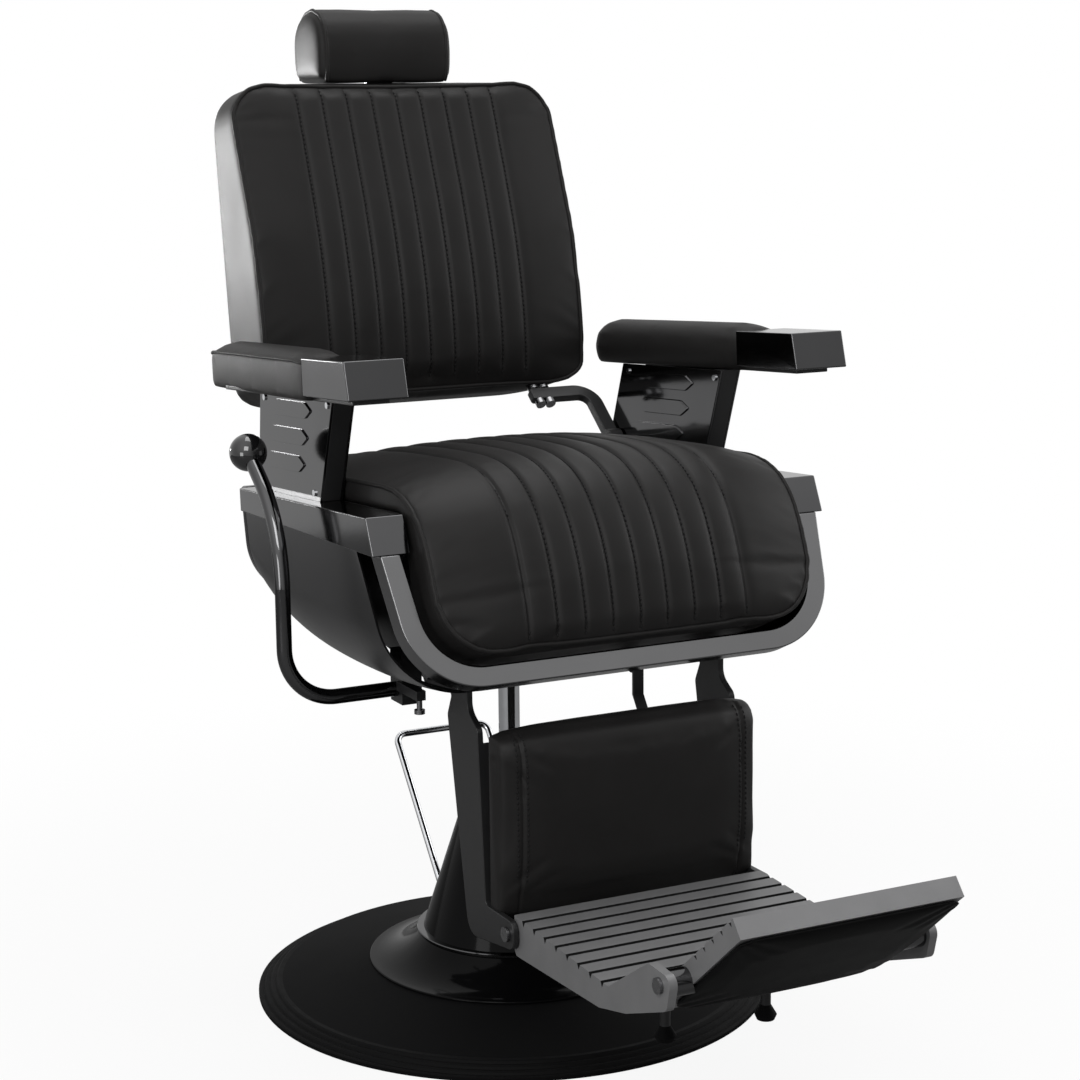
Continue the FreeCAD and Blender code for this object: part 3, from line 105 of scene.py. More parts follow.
def newFinish(name, surface):
    # a material whose Principled sockets come from surface(shade, coords)
    made = bpy.data.materials.new(name)
    made.use_nodes = True
    tree = made.node_tree
    tree.nodes.clear()
    shade = Shade(tree)
    coords = shade.node("ShaderNodeTexCoord", out=3)
    sockets = surface(shade, coords)
    bsdf = shade.node("ShaderNodeBsdfPrincipled", None, sockets)
    shade.node("ShaderNodeOutputMaterial", None, {"Surface": bsdf})
    return made


def noise(shade, coords, scale, detail=3.0, rough=0.5):
    return shade.node("ShaderNodeTexNoise", None,
                      {"Vector": coords, "Scale": scale, "Detail": detail, "Roughness": rough})


def tint(shade, factor, dark, light):
    # a colour between two tones
    return shade.node("ShaderNodeMix", {"data_type": "RGBA"}, {0: factor, 6: (*dark, 1), 7: (*light, 1)}, out=2)


def bump(shade, height, distance, strength=1.0):
    return shade.node("ShaderNodeBump", None, {"Height": height, "Distance": distance, "Strength": strength})


vinylLook = {"dark": (0.0105, 0.0100, 0.0099), "light": (0.0155, 0.0148, 0.0146), "grain": 1150.0, "depth": 0.00011}


def vinylSurface(shade, coords):
    look = vinylLook
    pebbles = shade.node("ShaderNodeTexVoronoi", {"feature": "F1"}, {"Vector": coords, "Scale": look["grain"]})
    fine = noise(shade, coords, look["grain"] * 1.7, 2.0)
    cloud = noise(shade, coords, 14.0, 4.0)
    grain = pebbles * 0.7 + fine * 0.6
    rough = 0.4 + cloud * 0.12 + pebbles * 0.05
    return {"Base Color": tint(shade, cloud, look["dark"], look["light"]), "Roughness": rough,
            "Normal": bump(shade, grain, look["depth"], 0.55), "Specular IOR Level": 0.14}


def glossSurface(shade, coords):
    # black nickel: dark where it mirrors the chair, grey where it mirrors the room
    haze = noise(shade, coords, 9.0, 4.0)
    peel = noise(shade, coords, 160.0, 2.0)
    return {"Base Color": tint(shade, haze, (0.082, 0.082, 0.084), (0.104, 0.104, 0.106)), "Metallic": 1.0,
            "Roughness": 0.06 + haze * 0.07, "Normal": bump(shade, peel, 0.00008, 0.2)}


def shellSurface(shade, coords):
    # the tub's skin: the same plating, brushed duller
    haze = noise(shade, coords, 7.0, 4.0)
    grain = noise(shade, coords, 650.0, 2.0)
    return {"Base Color": tint(shade, haze, (0.056, 0.056, 0.058), (0.072, 0.072, 0.074)), "Metallic": 1.0,
            "Roughness": 0.24 + haze * 0.08 + grain * 0.04, "Normal": bump(shade, grain, 0.00005, 0.2)}


def bandSurface(shade, coords):
    # the front band: paler plating with a satin polish
    haze = noise(shade, coords, 8.0, 4.0)
    grain = noise(shade, coords, 700.0, 2.0)
    return {"Base Color": tint(shade, haze, (0.15, 0.15, 0.152), (0.185, 0.185, 0.188)), "Metallic": 1.0,
            "Roughness": 0.14 + haze * 0.06 + grain * 0.03, "Normal": bump(shade, grain, 0.00004, 0.2)}


def flipVinylSurface(shade, coords):
    # the flip plate's pad: plain black sheet, smoother than the seat's
    cloud = noise(shade, coords, 20.0, 4.0)
    fine = noise(shade, coords, 1500.0, 2.0)
    return {"Base Color": tint(shade, cloud, (0.0022, 0.0022, 0.0023), (0.004, 0.004, 0.0041)),
            "Roughness": 0.42 + cloud * 0.12, "Normal": bump(shade, fine, 0.00008, 0.4),
            "Specular IOR Level": 0.05}


def pressedSurface(shade, coords):
    # the base's stove enamel, duller than the plated pieces
    haze = noise(shade, coords, 12.0, 4.0)
    peel = noise(shade, coords, 420.0, 2.0)
    return {"Base Color": tint(shade, haze, (0.0028, 0.0028, 0.003), (0.0048, 0.0048, 0.005)),
            "Roughness": 0.07 + haze * 0.06, "Normal": bump(shade, peel, 0.00006, 0.2), "Specular IOR Level": 0.06}


def coverSurface(shade, coords):
    # the wide base cover: the same enamel with a matt top coat
    haze = noise(shade, coords, 12.0, 4.0)
    speck = noise(shade, coords, 800.0, 2.0)
    return {"Base Color": tint(shade, haze, (0.0028, 0.0028, 0.003), (0.0046, 0.0046, 0.0048)),
            "Roughness": 0.66 + haze * 0.1, "Normal": bump(shade, speck, 0.00006, 0.4), "Specular IOR Level": 0.05}


def boltSurface(shade, coords):
    haze = noise(shade, coords, 90.0, 3.0)
    return {"Base Color": tint(shade, haze, (0.16, 0.16, 0.165), (0.24, 0.24, 0.245)), "Metallic": 1.0,
            "Roughness": 0.2 + haze * 0.12}


def satinSurface(shade, coords):
    cloud = noise(shade, coords, 20.0, 4.0)
    speck = noise(shade, coords, 900.0, 2.0)
    return {"Base Color": tint(shade, cloud, (0.011, 0.011, 0.0115), (0.017, 0.017, 0.0175)),
            "Roughness": 0.3 + cloud * 0.1 + speck * 0.06, "Normal": bump(shade, speck, 0.00006, 0.5),
            "Specular IOR Level": 0.32}


def castSurface(shade, coords):
    cloud = noise(shade, coords, 24.0, 4.0)
    sand = noise(shade, coords, 700.0, 3.0)
    return {"Base Color": tint(shade, cloud, (0.16, 0.16, 0.163), (0.215, 0.215, 0.218)), "Metallic": 0.35,
            "Roughness": 0.42 + sand * 0.14, "Normal": bump(shade, sand, 0.00012, 0.5)}


def chromeSurface(shade, coords):
    haze = noise(shade, coords, 35.0, 3.0)
    return {"Base Color": tint(shade, haze, (0.62, 0.63, 0.65), (0.74, 0.75, 0.77)), "Metallic": 1.0,
            "Roughness": 0.07 + haze * 0.08}


def rubberSurface(shade, coords):
    dust = noise(shade, coords, 45.0, 5.0, 0.6)
    grit = noise(shade, coords, 1300.0, 2.0)
    return {"Base Color": tint(shade, dust, (0.003, 0.003, 0.0031), (0.0062, 0.0062, 0.0064)),
            "Roughness": 0.5 + dust * 0.22, "Normal": bump(shade, grit, 0.00008, 0.5), "Specular IOR Level": 0.05}


def knobSurface(shade, coords):
    haze = noise(shade, coords, 60.0, 3.0)
    return {"Base Color": tint(shade, haze, (0.006, 0.006, 0.0065), (0.009, 0.009, 0.0095)),
            "Roughness": 0.03 + haze * 0.05, "Coat Weight": 0.6, "Coat Roughness": 0.02}


def boardSurface(shade, coords):
    # plywood under black paint
    stretched = shade.node("ShaderNodeMapping", None, {"Vector": coords, "Scale": (6.0, 120.0, 120.0)})
    grain = shade.node("ShaderNodeTexWave", {"wave_type": "BANDS", "bands_direction": "Z"},
                       {"Vector": stretched, "Scale": 0.7, "Distortion": 6.0, "Detail": 3.0})
    return {"Base Color": tint(shade, grain, (0.009, 0.0085, 0.008), (0.014, 0.0135, 0.013)),
            "Roughness": 0.62 + grain * 0.1, "Normal": bump(shade, grain, 0.0002, 0.3)}


def brassSurface(shade, coords):
    haze = noise(shade, coords, 40.0, 3.0)
    return {"Base Color": tint(shade, haze, (0.5, 0.34, 0.12), (0.68, 0.5, 0.2)), "Metallic": 1.0,
            "Roughness": 0.2 + haze * 0.15}


def threadSurface(shade, coords):
    twist = noise(shade, coords, 2600.0, 1.0)
    return {"Base Color": tint(shade, twist, (0.007, 0.007, 0.0072), (0.016, 0.016, 0.0165)),
            "Roughness": 0.5 + twist * 0.15, "Specular IOR Level": 0.1}


surfaces = {"vinyl": ("chair_vinyl", vinylSurface), "gloss_black": ("gloss_enamel", glossSurface),
            "satin_black": ("satin_enamel", satinSurface), "cast_grey": ("cast_footplate", castSurface),
            "chrome": ("polished_chrome", chromeSurface), "rim_rubber": ("rim_rubber", rubberSurface),
            "knob_plastic": ("ball_knob", knobSurface), "board": ("painted_board", boardSurface),
            "bearing": ("bronze_washer", brassSurface), "thread": ("sewing_thread", threadSurface),
            "pressed": ("base_enamel", pressedSurface), "shell": ("tub_plating", shellSurface),
            "cover": ("matt_base_enamel", coverSurface), "band": ("band_plating", bandSurface),
            "flip_vinyl": ("flip_pad_vinyl", flipVinylSurface), "bolt": ("dark_zinc", boltSurface)}
finishes = {key: newFinish(name, surface) for key, (name, surface) in surfaces.items()}
slotOf = {row["node"]: row["material_slot"] for row in frame["record"]["subparts"]}
# pieces whose look differs from the rest of their slot
finishOf = {"front_band": "band", "base_cover": "cover", "base_skirt": "pressed", "base_plate": "cover",
            "pump_shroud": "pressed", "foot_bolts": "bolt", "leg_bolts": "bolt", "back_bolts": "bolt",
            "flip_pins": "bolt", "back_hinge_pins": "bolt", "pump_bolts": "bolt", "lever_screw": "bolt",
            "seat_shell": "shell", "shroud_ring": "gloss_black"}
for name, node in nodes.items():
    node.data.materials.clear()
    node.data.materials.append(finishes[finishOf.get(name, slotOf[name])])
print("finishes:", len(finishes))


def placed(lean, origin):
    # frame of a leaning part: y forward to back, z up its slope
    return Matrix.Translation(origin) @ Matrix.Rotation(-math.radians(lean), 4, "X")


seatFrame = placed(3.5, (0, 0, 0.684))
backFrame = placed(8.0, (0, 0.348, 0.757))
flipFrame = placed(40.0, (0, -0.695, 0.261))


def meshObject(name, bm):
    mesh = bpy.data.meshes.new(name)
    bm.to_mesh(mesh)
    bm.free()
    made = bpy.data.objects.new(name, mesh)
    scene.collection.objects.link(made)
    return made


def finished(piece, body, slotName, replaced=(), finish=None):
    # rides on its body with its finish; its place is in its mesh
    piece.data.materials.clear()
    piece.data.materials.append(finishes[finish or slotName])
    piece.data.shade_smooth()
    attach(piece, body)
    if replaced:
        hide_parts(*replaced)
    return piece


def bodyOf(nodeName):
    return nodes[nodeName]["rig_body"]


def skinned(rings):
    # a closed form through section rings
    bm = bmesh.new()
    loops = []
    for ring in rings:
        verts = [bm.verts.new(point) for point in ring]
        loops.append([bm.edges.new((verts[i - 1], verts[i])) for i in range(len(verts))])
    for first, second in zip(loops, loops[1:]):
        bmesh.ops.bridge_loops(bm, edges=first + second)
    for loop in (loops[0], loops[-1]):
        bmesh.ops.contextual_create(bm, geom=loop)
    bmesh.ops.recalc_face_normals(bm, faces=bm.faces)
    return bm


def throughPoints(first, middle, last, steps):
    # an even curve through three points, without its last point
    line = []
    for i in range(steps):
        t = i / steps
        a, b, c = (1 - t) * (1 - 2 * t), 4 * t * (1 - t), t * (2 * t - 1)
        line.append(tuple(a * p + b * q + c * r for p, q, r in zip(first, middle, last)))
    return line


def evened(piece, size, smoothing=3):
    # voxel remesh to one mesh size, then a little smoothing
    remesh = piece.modifiers.new("even", "REMESH")
    remesh.mode = "VOXEL"
    remesh.voxel_size = size
    graph = bpy.context.evaluated_depsgraph_get()
    mesh = bpy.data.meshes.new_from_object(piece.evaluated_get(graph))
    piece.modifiers.clear()
    piece.data = mesh
    bm = bmesh.new()
    bm.from_mesh(mesh)
    for _ in range(smoothing):
        bmesh.ops.smooth_vert(bm, verts=bm.verts, factor=0.5, use_axis_x=True, use_axis_y=True, use_axis_z=True)
    bm.to_mesh(mesh)
    bm.free()


def plumped(piece, cap, held, pressure=4.0, frames=20):
    # stuffing: the cover swells under pressure where it isn't held, by no more than cap
    mesh = piece.data
    rest = [v.co.copy() for v in mesh.vertices]
    group = piece.vertex_groups.new(name="held")
    for v in mesh.vertices:
        group.add([v.index], held(v.co), "REPLACE")
    cloth = piece.modifiers.new("stuffing", "CLOTH")
    settings = cloth.settings
    settings.quality = 4
    settings.use_pressure = True
    settings.uniform_pressure_force = pressure
    settings.vertex_group_mass = "held"
    settings.effector_weights.gravity = 0
    cloth.collision_settings.use_collision = False
    cloth.point_cache.frame_start = 1
    cloth.point_cache.frame_end = frames
    for step in range(1, frames + 1):
        scene.frame_set(step)
    graph = bpy.context.evaluated_depsgraph_get()
    swollen = [v.co.copy() for v in piece.evaluated_get(graph).data.vertices]
    piece.modifiers.clear()
    piece.vertex_groups.clear()
    scene.frame_set(1)
    farthest = 0.0
    for v, start, end in zip(mesh.vertices, rest, swollen):
        move = end - start
        farthest = max(farthest, move.length)
        if move.length > cap:
            move = move.normalized() * cap
        v.co = start + move
    print("  stuffed", piece.name, len(rest), "points, moved up to", round(farthest * 1000, 1), "mm")


def reshaped(piece, change):
    # moves each point along its normal by change(point)
    mesh = piece.data
    places = [v.co + v.normal * change(v.co) for v in mesh.vertices]
    for v, place in zip(mesh.vertices, places):
        v.co = place


def cutAlong(piece, normal, offsets, where=None):
    # adds lines of points where planes cross the piece
    bm = bmesh.new()
    bm.from_mesh(piece.data)
    axis = Vector(normal)
    for offset in offsets:
        near = [f for f in bm.faces if (where is None or where(f.calc_center_median()))
                and min((v.co @ axis for v in f.verts)) - 1e-5 <= offset <= max((v.co @ axis for v in f.verts)) + 1e-5]
        geom = near + list({e for f in near for e in f.edges}) + list({v for f in near for v in f.verts})
        bmesh.ops.bisect_plane(bm, geom=geom, dist=1e-6, plane_co=axis * offset, plane_no=axis)
    bm.to_mesh(piece.data)
    bm.free()


def evenSteps(line, step):
    # points at one spacing along a line of points
    spots = [line[0].copy()]
    left = step
    for a, b in zip(line, line[1:]):
        run = (b - a).length
        done = 0.0
        while run - done >= left:
            done += left
            spots.append(a.lerp(b, done / run))
            left = step
        left -= run - done
    return spots


def sewnRow(bm, line, normals, look):
    # a row of stitches that dip into the cover at both ends
    spots = evenSteps(line, look["pitch"])
    for a, b in zip(spots, spots[1:]):
        along = (b - a)
        middle = (a + b) / 2
        out = normals(middle)
        side = along.cross(out).normalized()
        out = side.cross(along).normalized()
        turn = Matrix((side, out, along.normalized())).transposed().to_4x4()
        size = Matrix.Diagonal((look["width"], look["width"] * 0.8, look["length"] / 2, 1))
        bmesh.ops.create_icosphere(bm, subdivisions=1, radius=1.0,
                                   matrix=Matrix.Translation(middle + out * look["lift"]) @ turn @ size)


def tube(name, line, radius, closed=False, sides=4):
    # a round welt along a line of points
    curve = bpy.data.curves.new(name, "CURVE")
    curve.dimensions = "3D"
    curve.bevel_depth = radius
    curve.bevel_resolution = sides
    spline = curve.splines.new("POLY")
    spline.points.add(len(line) - 1)
    for point, place in zip(spline.points, line):
        point.co = (*place, 1)
    spline.use_cyclic_u = closed
    curve.use_fill_caps = not closed
    holder = bpy.data.objects.new(name, curve)
    scene.collection.objects.link(holder)
    mesh = bpy.data.meshes.new_from_object(holder.evaluated_get(bpy.context.evaluated_depsgraph_get()))
    bpy.data.objects.remove(holder)
    bm = bmesh.new()
    bm.from_mesh(mesh)
    bmesh.ops.remove_doubles(bm, verts=bm.verts, dist=1e-6)
    bmesh.ops.recalc_face_normals(bm, faces=bm.faces)
    return meshObject(name, bm)


def surfaceOf(piece):
    bm = bmesh.new()
    bm.from_mesh(piece.data)
    tree = BVHTree.FromBMesh(bm)
    bm.free()
    return tree


def laidOn(piece, line, step, proud=0.001):
    # the line in even steps, drawn onto the piece's surface
    tree = surfaceOf(piece)
    spots = [tree.find_nearest(place) for place in evenSteps(line, step)]
    return [spot + normal * proud for spot, normal, _, _ in spots]


def moved(piece, matrix):
    piece.data.transform(matrix)
    piece.data.update()


def roundedOff(piece, levels=1):
    # one subdivision, applied, so that seams and stitches lie on the final surface
    subdivision = piece.modifiers.new("subdivision", "SUBSURF")
    subdivision.levels = levels
    subdivision.render_levels = levels
    mesh = bpy.data.meshes.new_from_object(piece.evaluated_get(bpy.context.evaluated_depsgraph_get()))
    piece.modifiers.clear()
    piece.data = mesh


def clamped(value):
    return min(1.0, max(0.0, value))


def fade(distance, limits):
    # from none at the first distance to full at a width beyond it
    return clamped((distance - limits[0]) / limits[1])


def stationsAcross(shares, half):
    # places across a piece, from shares of its half width
    return [-half * share for share in reversed(shares[1:])] + [half * share for share in shares]


def bothSides(line):
    # a line from one side, carried on along its mirror image
    return line + [Vector((-p.x, p.y, p.z)) for p in reversed(line)]


def cornerRise(x, half, radius):
    # how far a rounded corner has come in at x
    along = max(0.0, abs(x) - (half - radius))
    return radius - math.sqrt(max(0.0, radius ** 2 - along ** 2))


channels = {"pitch": 0.0366, "lines": 9, "groove": 0.0044, "narrow": 0.002, "wide": 0.0065, "puff": 0.0006,
            "cuts": (-0.005, -0.0022, 0.0, 0.0022, 0.005)}
stitches = {"pitch": 0.0064, "length": 0.0048, "width": 0.0012, "lift": 0.0006}
channelLines = [(i - (channels["lines"] - 1) / 2) * channels["pitch"] for i in range(channels["lines"])]


def channelDip(x):
    # how far the cover is drawn in at x by the rows of stitching
    nearest = min(abs(x - line) for line in channelLines)
    sharp = math.exp(-(nearest / channels["narrow"]) ** 2)
    soft = math.exp(-(nearest / channels["wide"]) ** 2)
    inside = abs(x) < channelLines[-1] + channels["pitch"] / 2
    swell = math.sin(math.pi * min(1.0, nearest / (channels["pitch"] / 2)) / 2) if inside else 1.0
    return channels["puff"] * swell - channels["groove"] * (0.55 * sharp + 0.45 * soft)


def sewChannels(piece, share):
    # channels along the stitch lines, as deep as share(point) says
    near = [line + offset for line in channelLines for offset in channels["cuts"]]
    cutAlong(piece, (1, 0, 0), near, lambda p: share(p) > 0)
    reshaped(piece, lambda p: channelDip(p.x) * share(p))


def stitchLines(piece, name, order, share):
    # stitches laid in the channels, one row to a line
    mesh = piece.data
    tree = surfaceOf(piece)
    bm = bmesh.new()
    for line in channelLines:
        onLine = [v.co.copy() for v in mesh.vertices if abs(v.co.x - line) < 3e-4 and share(v.co) > 0.3]
        spots = sorted(onLine, key=order)
        if len(spots) > 2:
            sewnRow(bm, spots, lambda p: tree.find_nearest(p)[1], stitches)
    return meshObject(name, bm)


seatPad = {"half": 0.2525, "rear": 0.1315, "low": -0.003, "piping": 0.026, "noseStart": -0.185, "noseEnd": -0.055,
           "drop": 0.159, "corner": 0.07, "front": -0.289, "slope": 0.369, "lip": 0.072, "inside": -0.236,
           "crown": 0.029, "across": (0.0, 0.25, 0.5, 0.725, 0.81, 0.89, 0.95, 0.985, 1.0), "fadeRear": (0.012, 0.03),
           "fadeFoot": (0.005, 0.014), "fadeSide": (0.02, 0.04), "weltStep": 0.005, "mesh": 0.0066,
           "cap": 0.0055, "welt": 0.0028}
# how full the stuffing is along the top, round the nose and down the front
seatSwell = {"top": (0.3, 0.7, 0.9, 1.0, 1.0), "nose": (0.97, 0.95, 0.92, 0.89, 0.86, 0.82),
             "front": (0.78, 0.71, 0.62, 0.49, 0.32, 0.12)}


def seatSection(x, share=None):
    # the seam line seen from the side, swollen by the stuffing as far as share says
    pad = seatPad
    crown = pad["crown"] * (1 - 0.97 * abs(x / pad["half"]) ** 3 if share is None else share)
    low = -pad["drop"] + cornerRise(x, pad["half"], pad["corner"])

    def frontAt(z):
        return pad["front"] + pad["slope"] * z
    out = Vector((0, -1, pad["slope"])).normalized()
    start = Vector((x, pad["noseStart"], pad["piping"]))
    bend = Vector((x, frontAt(pad["piping"]), pad["piping"]))
    end = Vector((x, frontAt(pad["noseEnd"]), pad["noseEnd"]))
    line = [Vector((x, pad["rear"], pad["low"]))]
    for i, swell in enumerate(seatSwell["top"]):
        line.append(Vector((x, pad["rear"] + (pad["noseStart"] - pad["rear"]) * i / 5, pad["piping"] + crown * swell)))
    for i, swell in enumerate(seatSwell["nose"]):
        t = i / 6
        spot = start * (1 - t) ** 2 + bend * 2 * t * (1 - t) + end * t ** 2
        line.append(spot + (Vector((0, 0, 1)) * (1 - t) + out * t).normalized() * crown * swell)
    for i, swell in enumerate(seatSwell["front"]):
        z = pad["noseEnd"] + (low - pad["noseEnd"]) * i / 5
        line.append(Vector((x, frontAt(z), z)) + out * crown * swell)
    edge = Vector((x, frontAt(low), low))
    return line + [edge + Vector((0, 1, -pad["slope"])) * pad["lip"], Vector((x, pad["inside"], pad["low"]))]


def makeSeatCushion():
    pad = seatPad
    stations = stationsAcross(pad["across"], pad["half"])
    piece = meshObject("seat_cushion_cover", skinned([seatSection(x) for x in stations]))
    evened(piece, pad["mesh"])

    def held(p):
        under = p.z < pad["low"] + 0.008 and p.y > pad["front"] + pad["slope"] * p.z + 0.03
        return 1.0 if under or abs(p.x) > pad["half"] - 0.004 or p.y > pad["rear"] - 0.004 else 0.0
    plumped(piece, pad["cap"], held)

    def share(p):
        # full over the top and front, none on the sides, rear and underside
        if p.z < pad["low"] and p.y > pad["front"] + pad["slope"] * p.z + 0.018:
            return 0.0
        return (fade(pad["rear"] - p.y, pad["fadeRear"]) * fade(p.z + pad["drop"], pad["fadeFoot"])
                * fade(pad["half"] - abs(p.x), pad["fadeSide"]))
    sewChannels(piece, share)
    roundedOff(piece)
    rows = stitchLines(piece, "seat_stitching", lambda p: math.atan2(p.z + 0.07, -p.y - 0.15), share)
    side = seatSection(pad["half"] - 0.0006, 0.02)[1:-2]
    turns = [pad["half"] - pad["corner"] * (1 - math.sin(math.radians(a))) for a in (75, 60, 45, 30, 15, 0)]
    corner = [seatSection(x, 0.02)[-3] for x in turns]
    welt = tube("seat_welt", laidOn(piece, bothSides(side + corner), pad["weltStep"]), pad["welt"])
    for made in (piece, rows, welt):
        moved(made, seatFrame)
    finished(piece, "seat", "vinyl", ["seat_cushion"])
    finished(rows, "seat", "vinyl", finish="thread")
    finished(welt, "seat", "vinyl")
    print("seat cushion")


backPad = {"half": 0.2405, "height": 0.4295, "rear": -0.024, "round": 0.022, "corner": 0.052, "topDepth": 0.064,
           "bend": (0.22, 0.114), "lumbar": (0.1, 0.123), "footDepth": 0.116, "swell": 0.006,
           "across": (0.0, 0.3, 0.6, 0.78, 0.84, 0.88, 0.92, 0.95, 0.975, 0.99, 1.0), "boxing": -0.045,
           "fadeTop": (0.004, 0.014), "fadeFoot": (0.012, 0.02), "fadeSide": (0.015, 0.04), "weltStep": 0.006,
           "mesh": 0.0064, "cap": 0.0055, "welt": 0.0028}


def backSection(x, share=None):
    # from the rear's foot up, over the top and down the front
    pad = backPad
    crown = 1 - 0.97 * abs(x / pad["half"]) ** 3 if share is None else share
    rise = cornerRise(x, pad["half"], pad["corner"])
    low, top = 0.6 * rise, pad["height"] - rise
    swell = pad["swell"] * crown
    topFront = (x, -pad["topDepth"] - 0.13 * rise - 0.3 * swell, top)
    bend = (x, -pad["bend"][1] - swell, pad["bend"][0])
    lumbar = (x, -pad["lumbar"][1] - swell, pad["lumbar"][0])
    foot = (x, -pad["footDepth"] - 0.3 * swell, low)
    upper = tuple((a + b) / 2 for a, b in zip(topFront, bend))
    rear = -pad["rear"] - 0.85 * cornerRise(x, pad["half"], pad["round"])
    boxing = [(x, rear - 0.012, low - 0.008), (x, rear, low + 0.004), (x, rear, top - 0.02),
              (x, rear - 0.006, top - 0.005), (x, rear - 0.022, top)]
    return boxing + throughPoints(topFront, upper, bend, 6) + throughPoints(bend, lumbar, foot, 6) + [foot]


def makeBackCushion():
    pad = backPad
    stations = stationsAcross(pad["across"], pad["half"])
    piece = meshObject("back_cushion_cover", skinned([backSection(x) for x in stations]))
    evened(piece, pad["mesh"])

    def held(p):
        return 1.0 if p.y > -pad["rear"] - 0.006 or abs(p.x) > pad["half"] - 0.004 else 0.0
    plumped(piece, pad["cap"], held)

    def share(p):
        # full on the front, none on the boxing
        if p.y > pad["boxing"]:
            return 0.0
        return (fade(pad["height"] - p.z, pad["fadeTop"]) * fade(p.z, pad["fadeFoot"])
                * fade(pad["half"] - abs(p.x), pad["fadeSide"]))
    sewChannels(piece, share)
    roundedOff(piece)
    rows = stitchLines(piece, "back_stitching", lambda p: p.z, share)
    side = [Vector(p) for p in backSection(pad["half"] - 0.001, 0.03)[5:]]
    turns = [pad["half"] - pad["corner"] * (1 - math.sin(math.radians(a))) for a in (0, 15, 30, 45, 60, 75)]
    corner = [Vector(backSection(x, 0.03)[5]) for x in turns]
    heel = [Vector(backSection(x, 0.03)[-1]) for x in reversed(turns)]
    line = bothSides(corner + side + heel)
    welt = tube("back_welt", laidOn(piece, line + [line[0]], pad["weltStep"])[:-1], pad["welt"], closed=True)
    for made in (piece, rows, welt):
        moved(made, backFrame)
    finished(piece, "back", "vinyl", ["back_cushion", "back_board"])
    finished(rows, "back", "vinyl", finish="thread")
    finished(welt, "back", "vinyl")
    print("back cushion")


coverPad = {"half": 0.214, "low": 0.016, "high": 0.408, "front": -0.009, "edge": 0.008, "rear": 0.028,
            "crown": 0.006, "corner": 0.04, "across": (0.0, 0.5, 0.78, 0.84, 0.9, 0.95, 0.985, 1.0),
            "mesh": 0.0065, "cap": 0.004}


def makeBackCover():
    # the padded rear panel, set a little inside the boxing of the cushion
    pad = coverPad
    rings = []
    for share in stationsAcross(pad["across"], 1.0):
        x = share * pad["half"]
        rise = cornerRise(x, pad["half"], pad["corner"])
        low, high = pad["low"] + 0.6 * rise, pad["high"] - rise
        fall = cornerRise(x, pad["half"], pad["edge"])
        flat = pad["rear"] - 0.9 * fall
        middle = flat + pad["crown"] * (1 - abs(share) ** 4)
        edge = pad["edge"]
        foot, head = (x, flat, low + edge), (x, flat, high - edge)
        rings.append([(x, -pad["front"], low), (x, flat - 0.9 * edge, low), (x, flat - 0.3 * edge, low + 0.3 * edge)]
                     + throughPoints(foot, (x, middle, (low + high) / 2), head, 8)
                     + [head, (x, flat - 0.3 * edge, high - 0.3 * edge), (x, flat - 0.9 * edge, high),
                        (x, -pad["front"], high)])
    piece = meshObject("back_cover_panel", skinned(rings))
    evened(piece, pad["mesh"])
    plumped(piece, pad["cap"], lambda p: 1.0 if p.y < -pad["front"] + 0.004 else 0.0)
    roundedOff(piece)
    moved(piece, backFrame)
    finished(piece, "back", "vinyl", ["back_cover"])
    print("back cover")


pillow = {"half": 0.0965, "middle": (0.412, 1.2441), "deep": 0.057, "tall": 0.0505, "seamIn": 0.002,
          "seamDepth": 0.003, "seamWidth": 0.0035, "mesh": 0.0045, "weltStep": 0.005, "cap": 0.004, "welt": 0.0028}
pillowOutline = [(-0.9, -1.05), (-0.98, -0.7), (-1.0, -0.16), (-0.94, 0.3), (-0.8, 0.6), (-0.55, 0.84),
                 (-0.1, 0.98), (0.35, 0.9), (0.7, 0.66), (0.95, 0.3), (1.0, -0.1), (0.96, -0.7), (0.86, -1.05)]
# place along the pillow and size of its outline there
pillowShape = [(-1.06, 0.5), (-1.045, 0.74), (-1.0, 0.95), (-0.93, 0.985), (-0.5, 0.995), (0.0, 0.965),
               (0.5, 0.995), (0.93, 0.985), (1.0, 0.95), (1.045, 0.74), (1.06, 0.5)]


def pillowRing(x, size):
    y, z = pillow["middle"]
    return [(x, y + u * pillow["deep"] * size, z + v * pillow["tall"] * size) for u, v in pillowOutline]


def makeHeadPillow():
    rings = [pillowRing(share * pillow["half"], size) for share, size in pillowShape]
    piece = meshObject("head_pillow_cover", skinned(rings))
    evened(piece, pillow["mesh"], 4)
    seam = pillow["half"] - pillow["seamIn"]

    def held(p):
        under = p.z < pillow["middle"][1] - pillow["tall"] + 0.004
        return 1.0 if abs(abs(p.x) - seam) < 0.003 or under else 0.0
    plumped(piece, pillow["cap"], held, 3.0)
    reshaped(piece, lambda p: -pillow["seamDepth"] * math.exp(-((abs(p.x) - seam) / pillow["seamWidth"]) ** 2))
    roundedOff(piece)
    tree = surfaceOf(piece)
    welts = []
    for side in (-1, 1):
        line = []
        for place in evenSteps([Vector(p) for p in pillowRing(side * seam, 1.06)], pillow["weltStep"]):
            line.append(tree.find_nearest(place)[0])
        welts.append(tube("head_welt_" + ("left" if side > 0 else "right"), line, pillow["welt"]))
    finished(piece, "head", "vinyl", ["head_pillow"])
    for welt in welts:
        finished(welt, "head", "vinyl")
    print("head pillow")


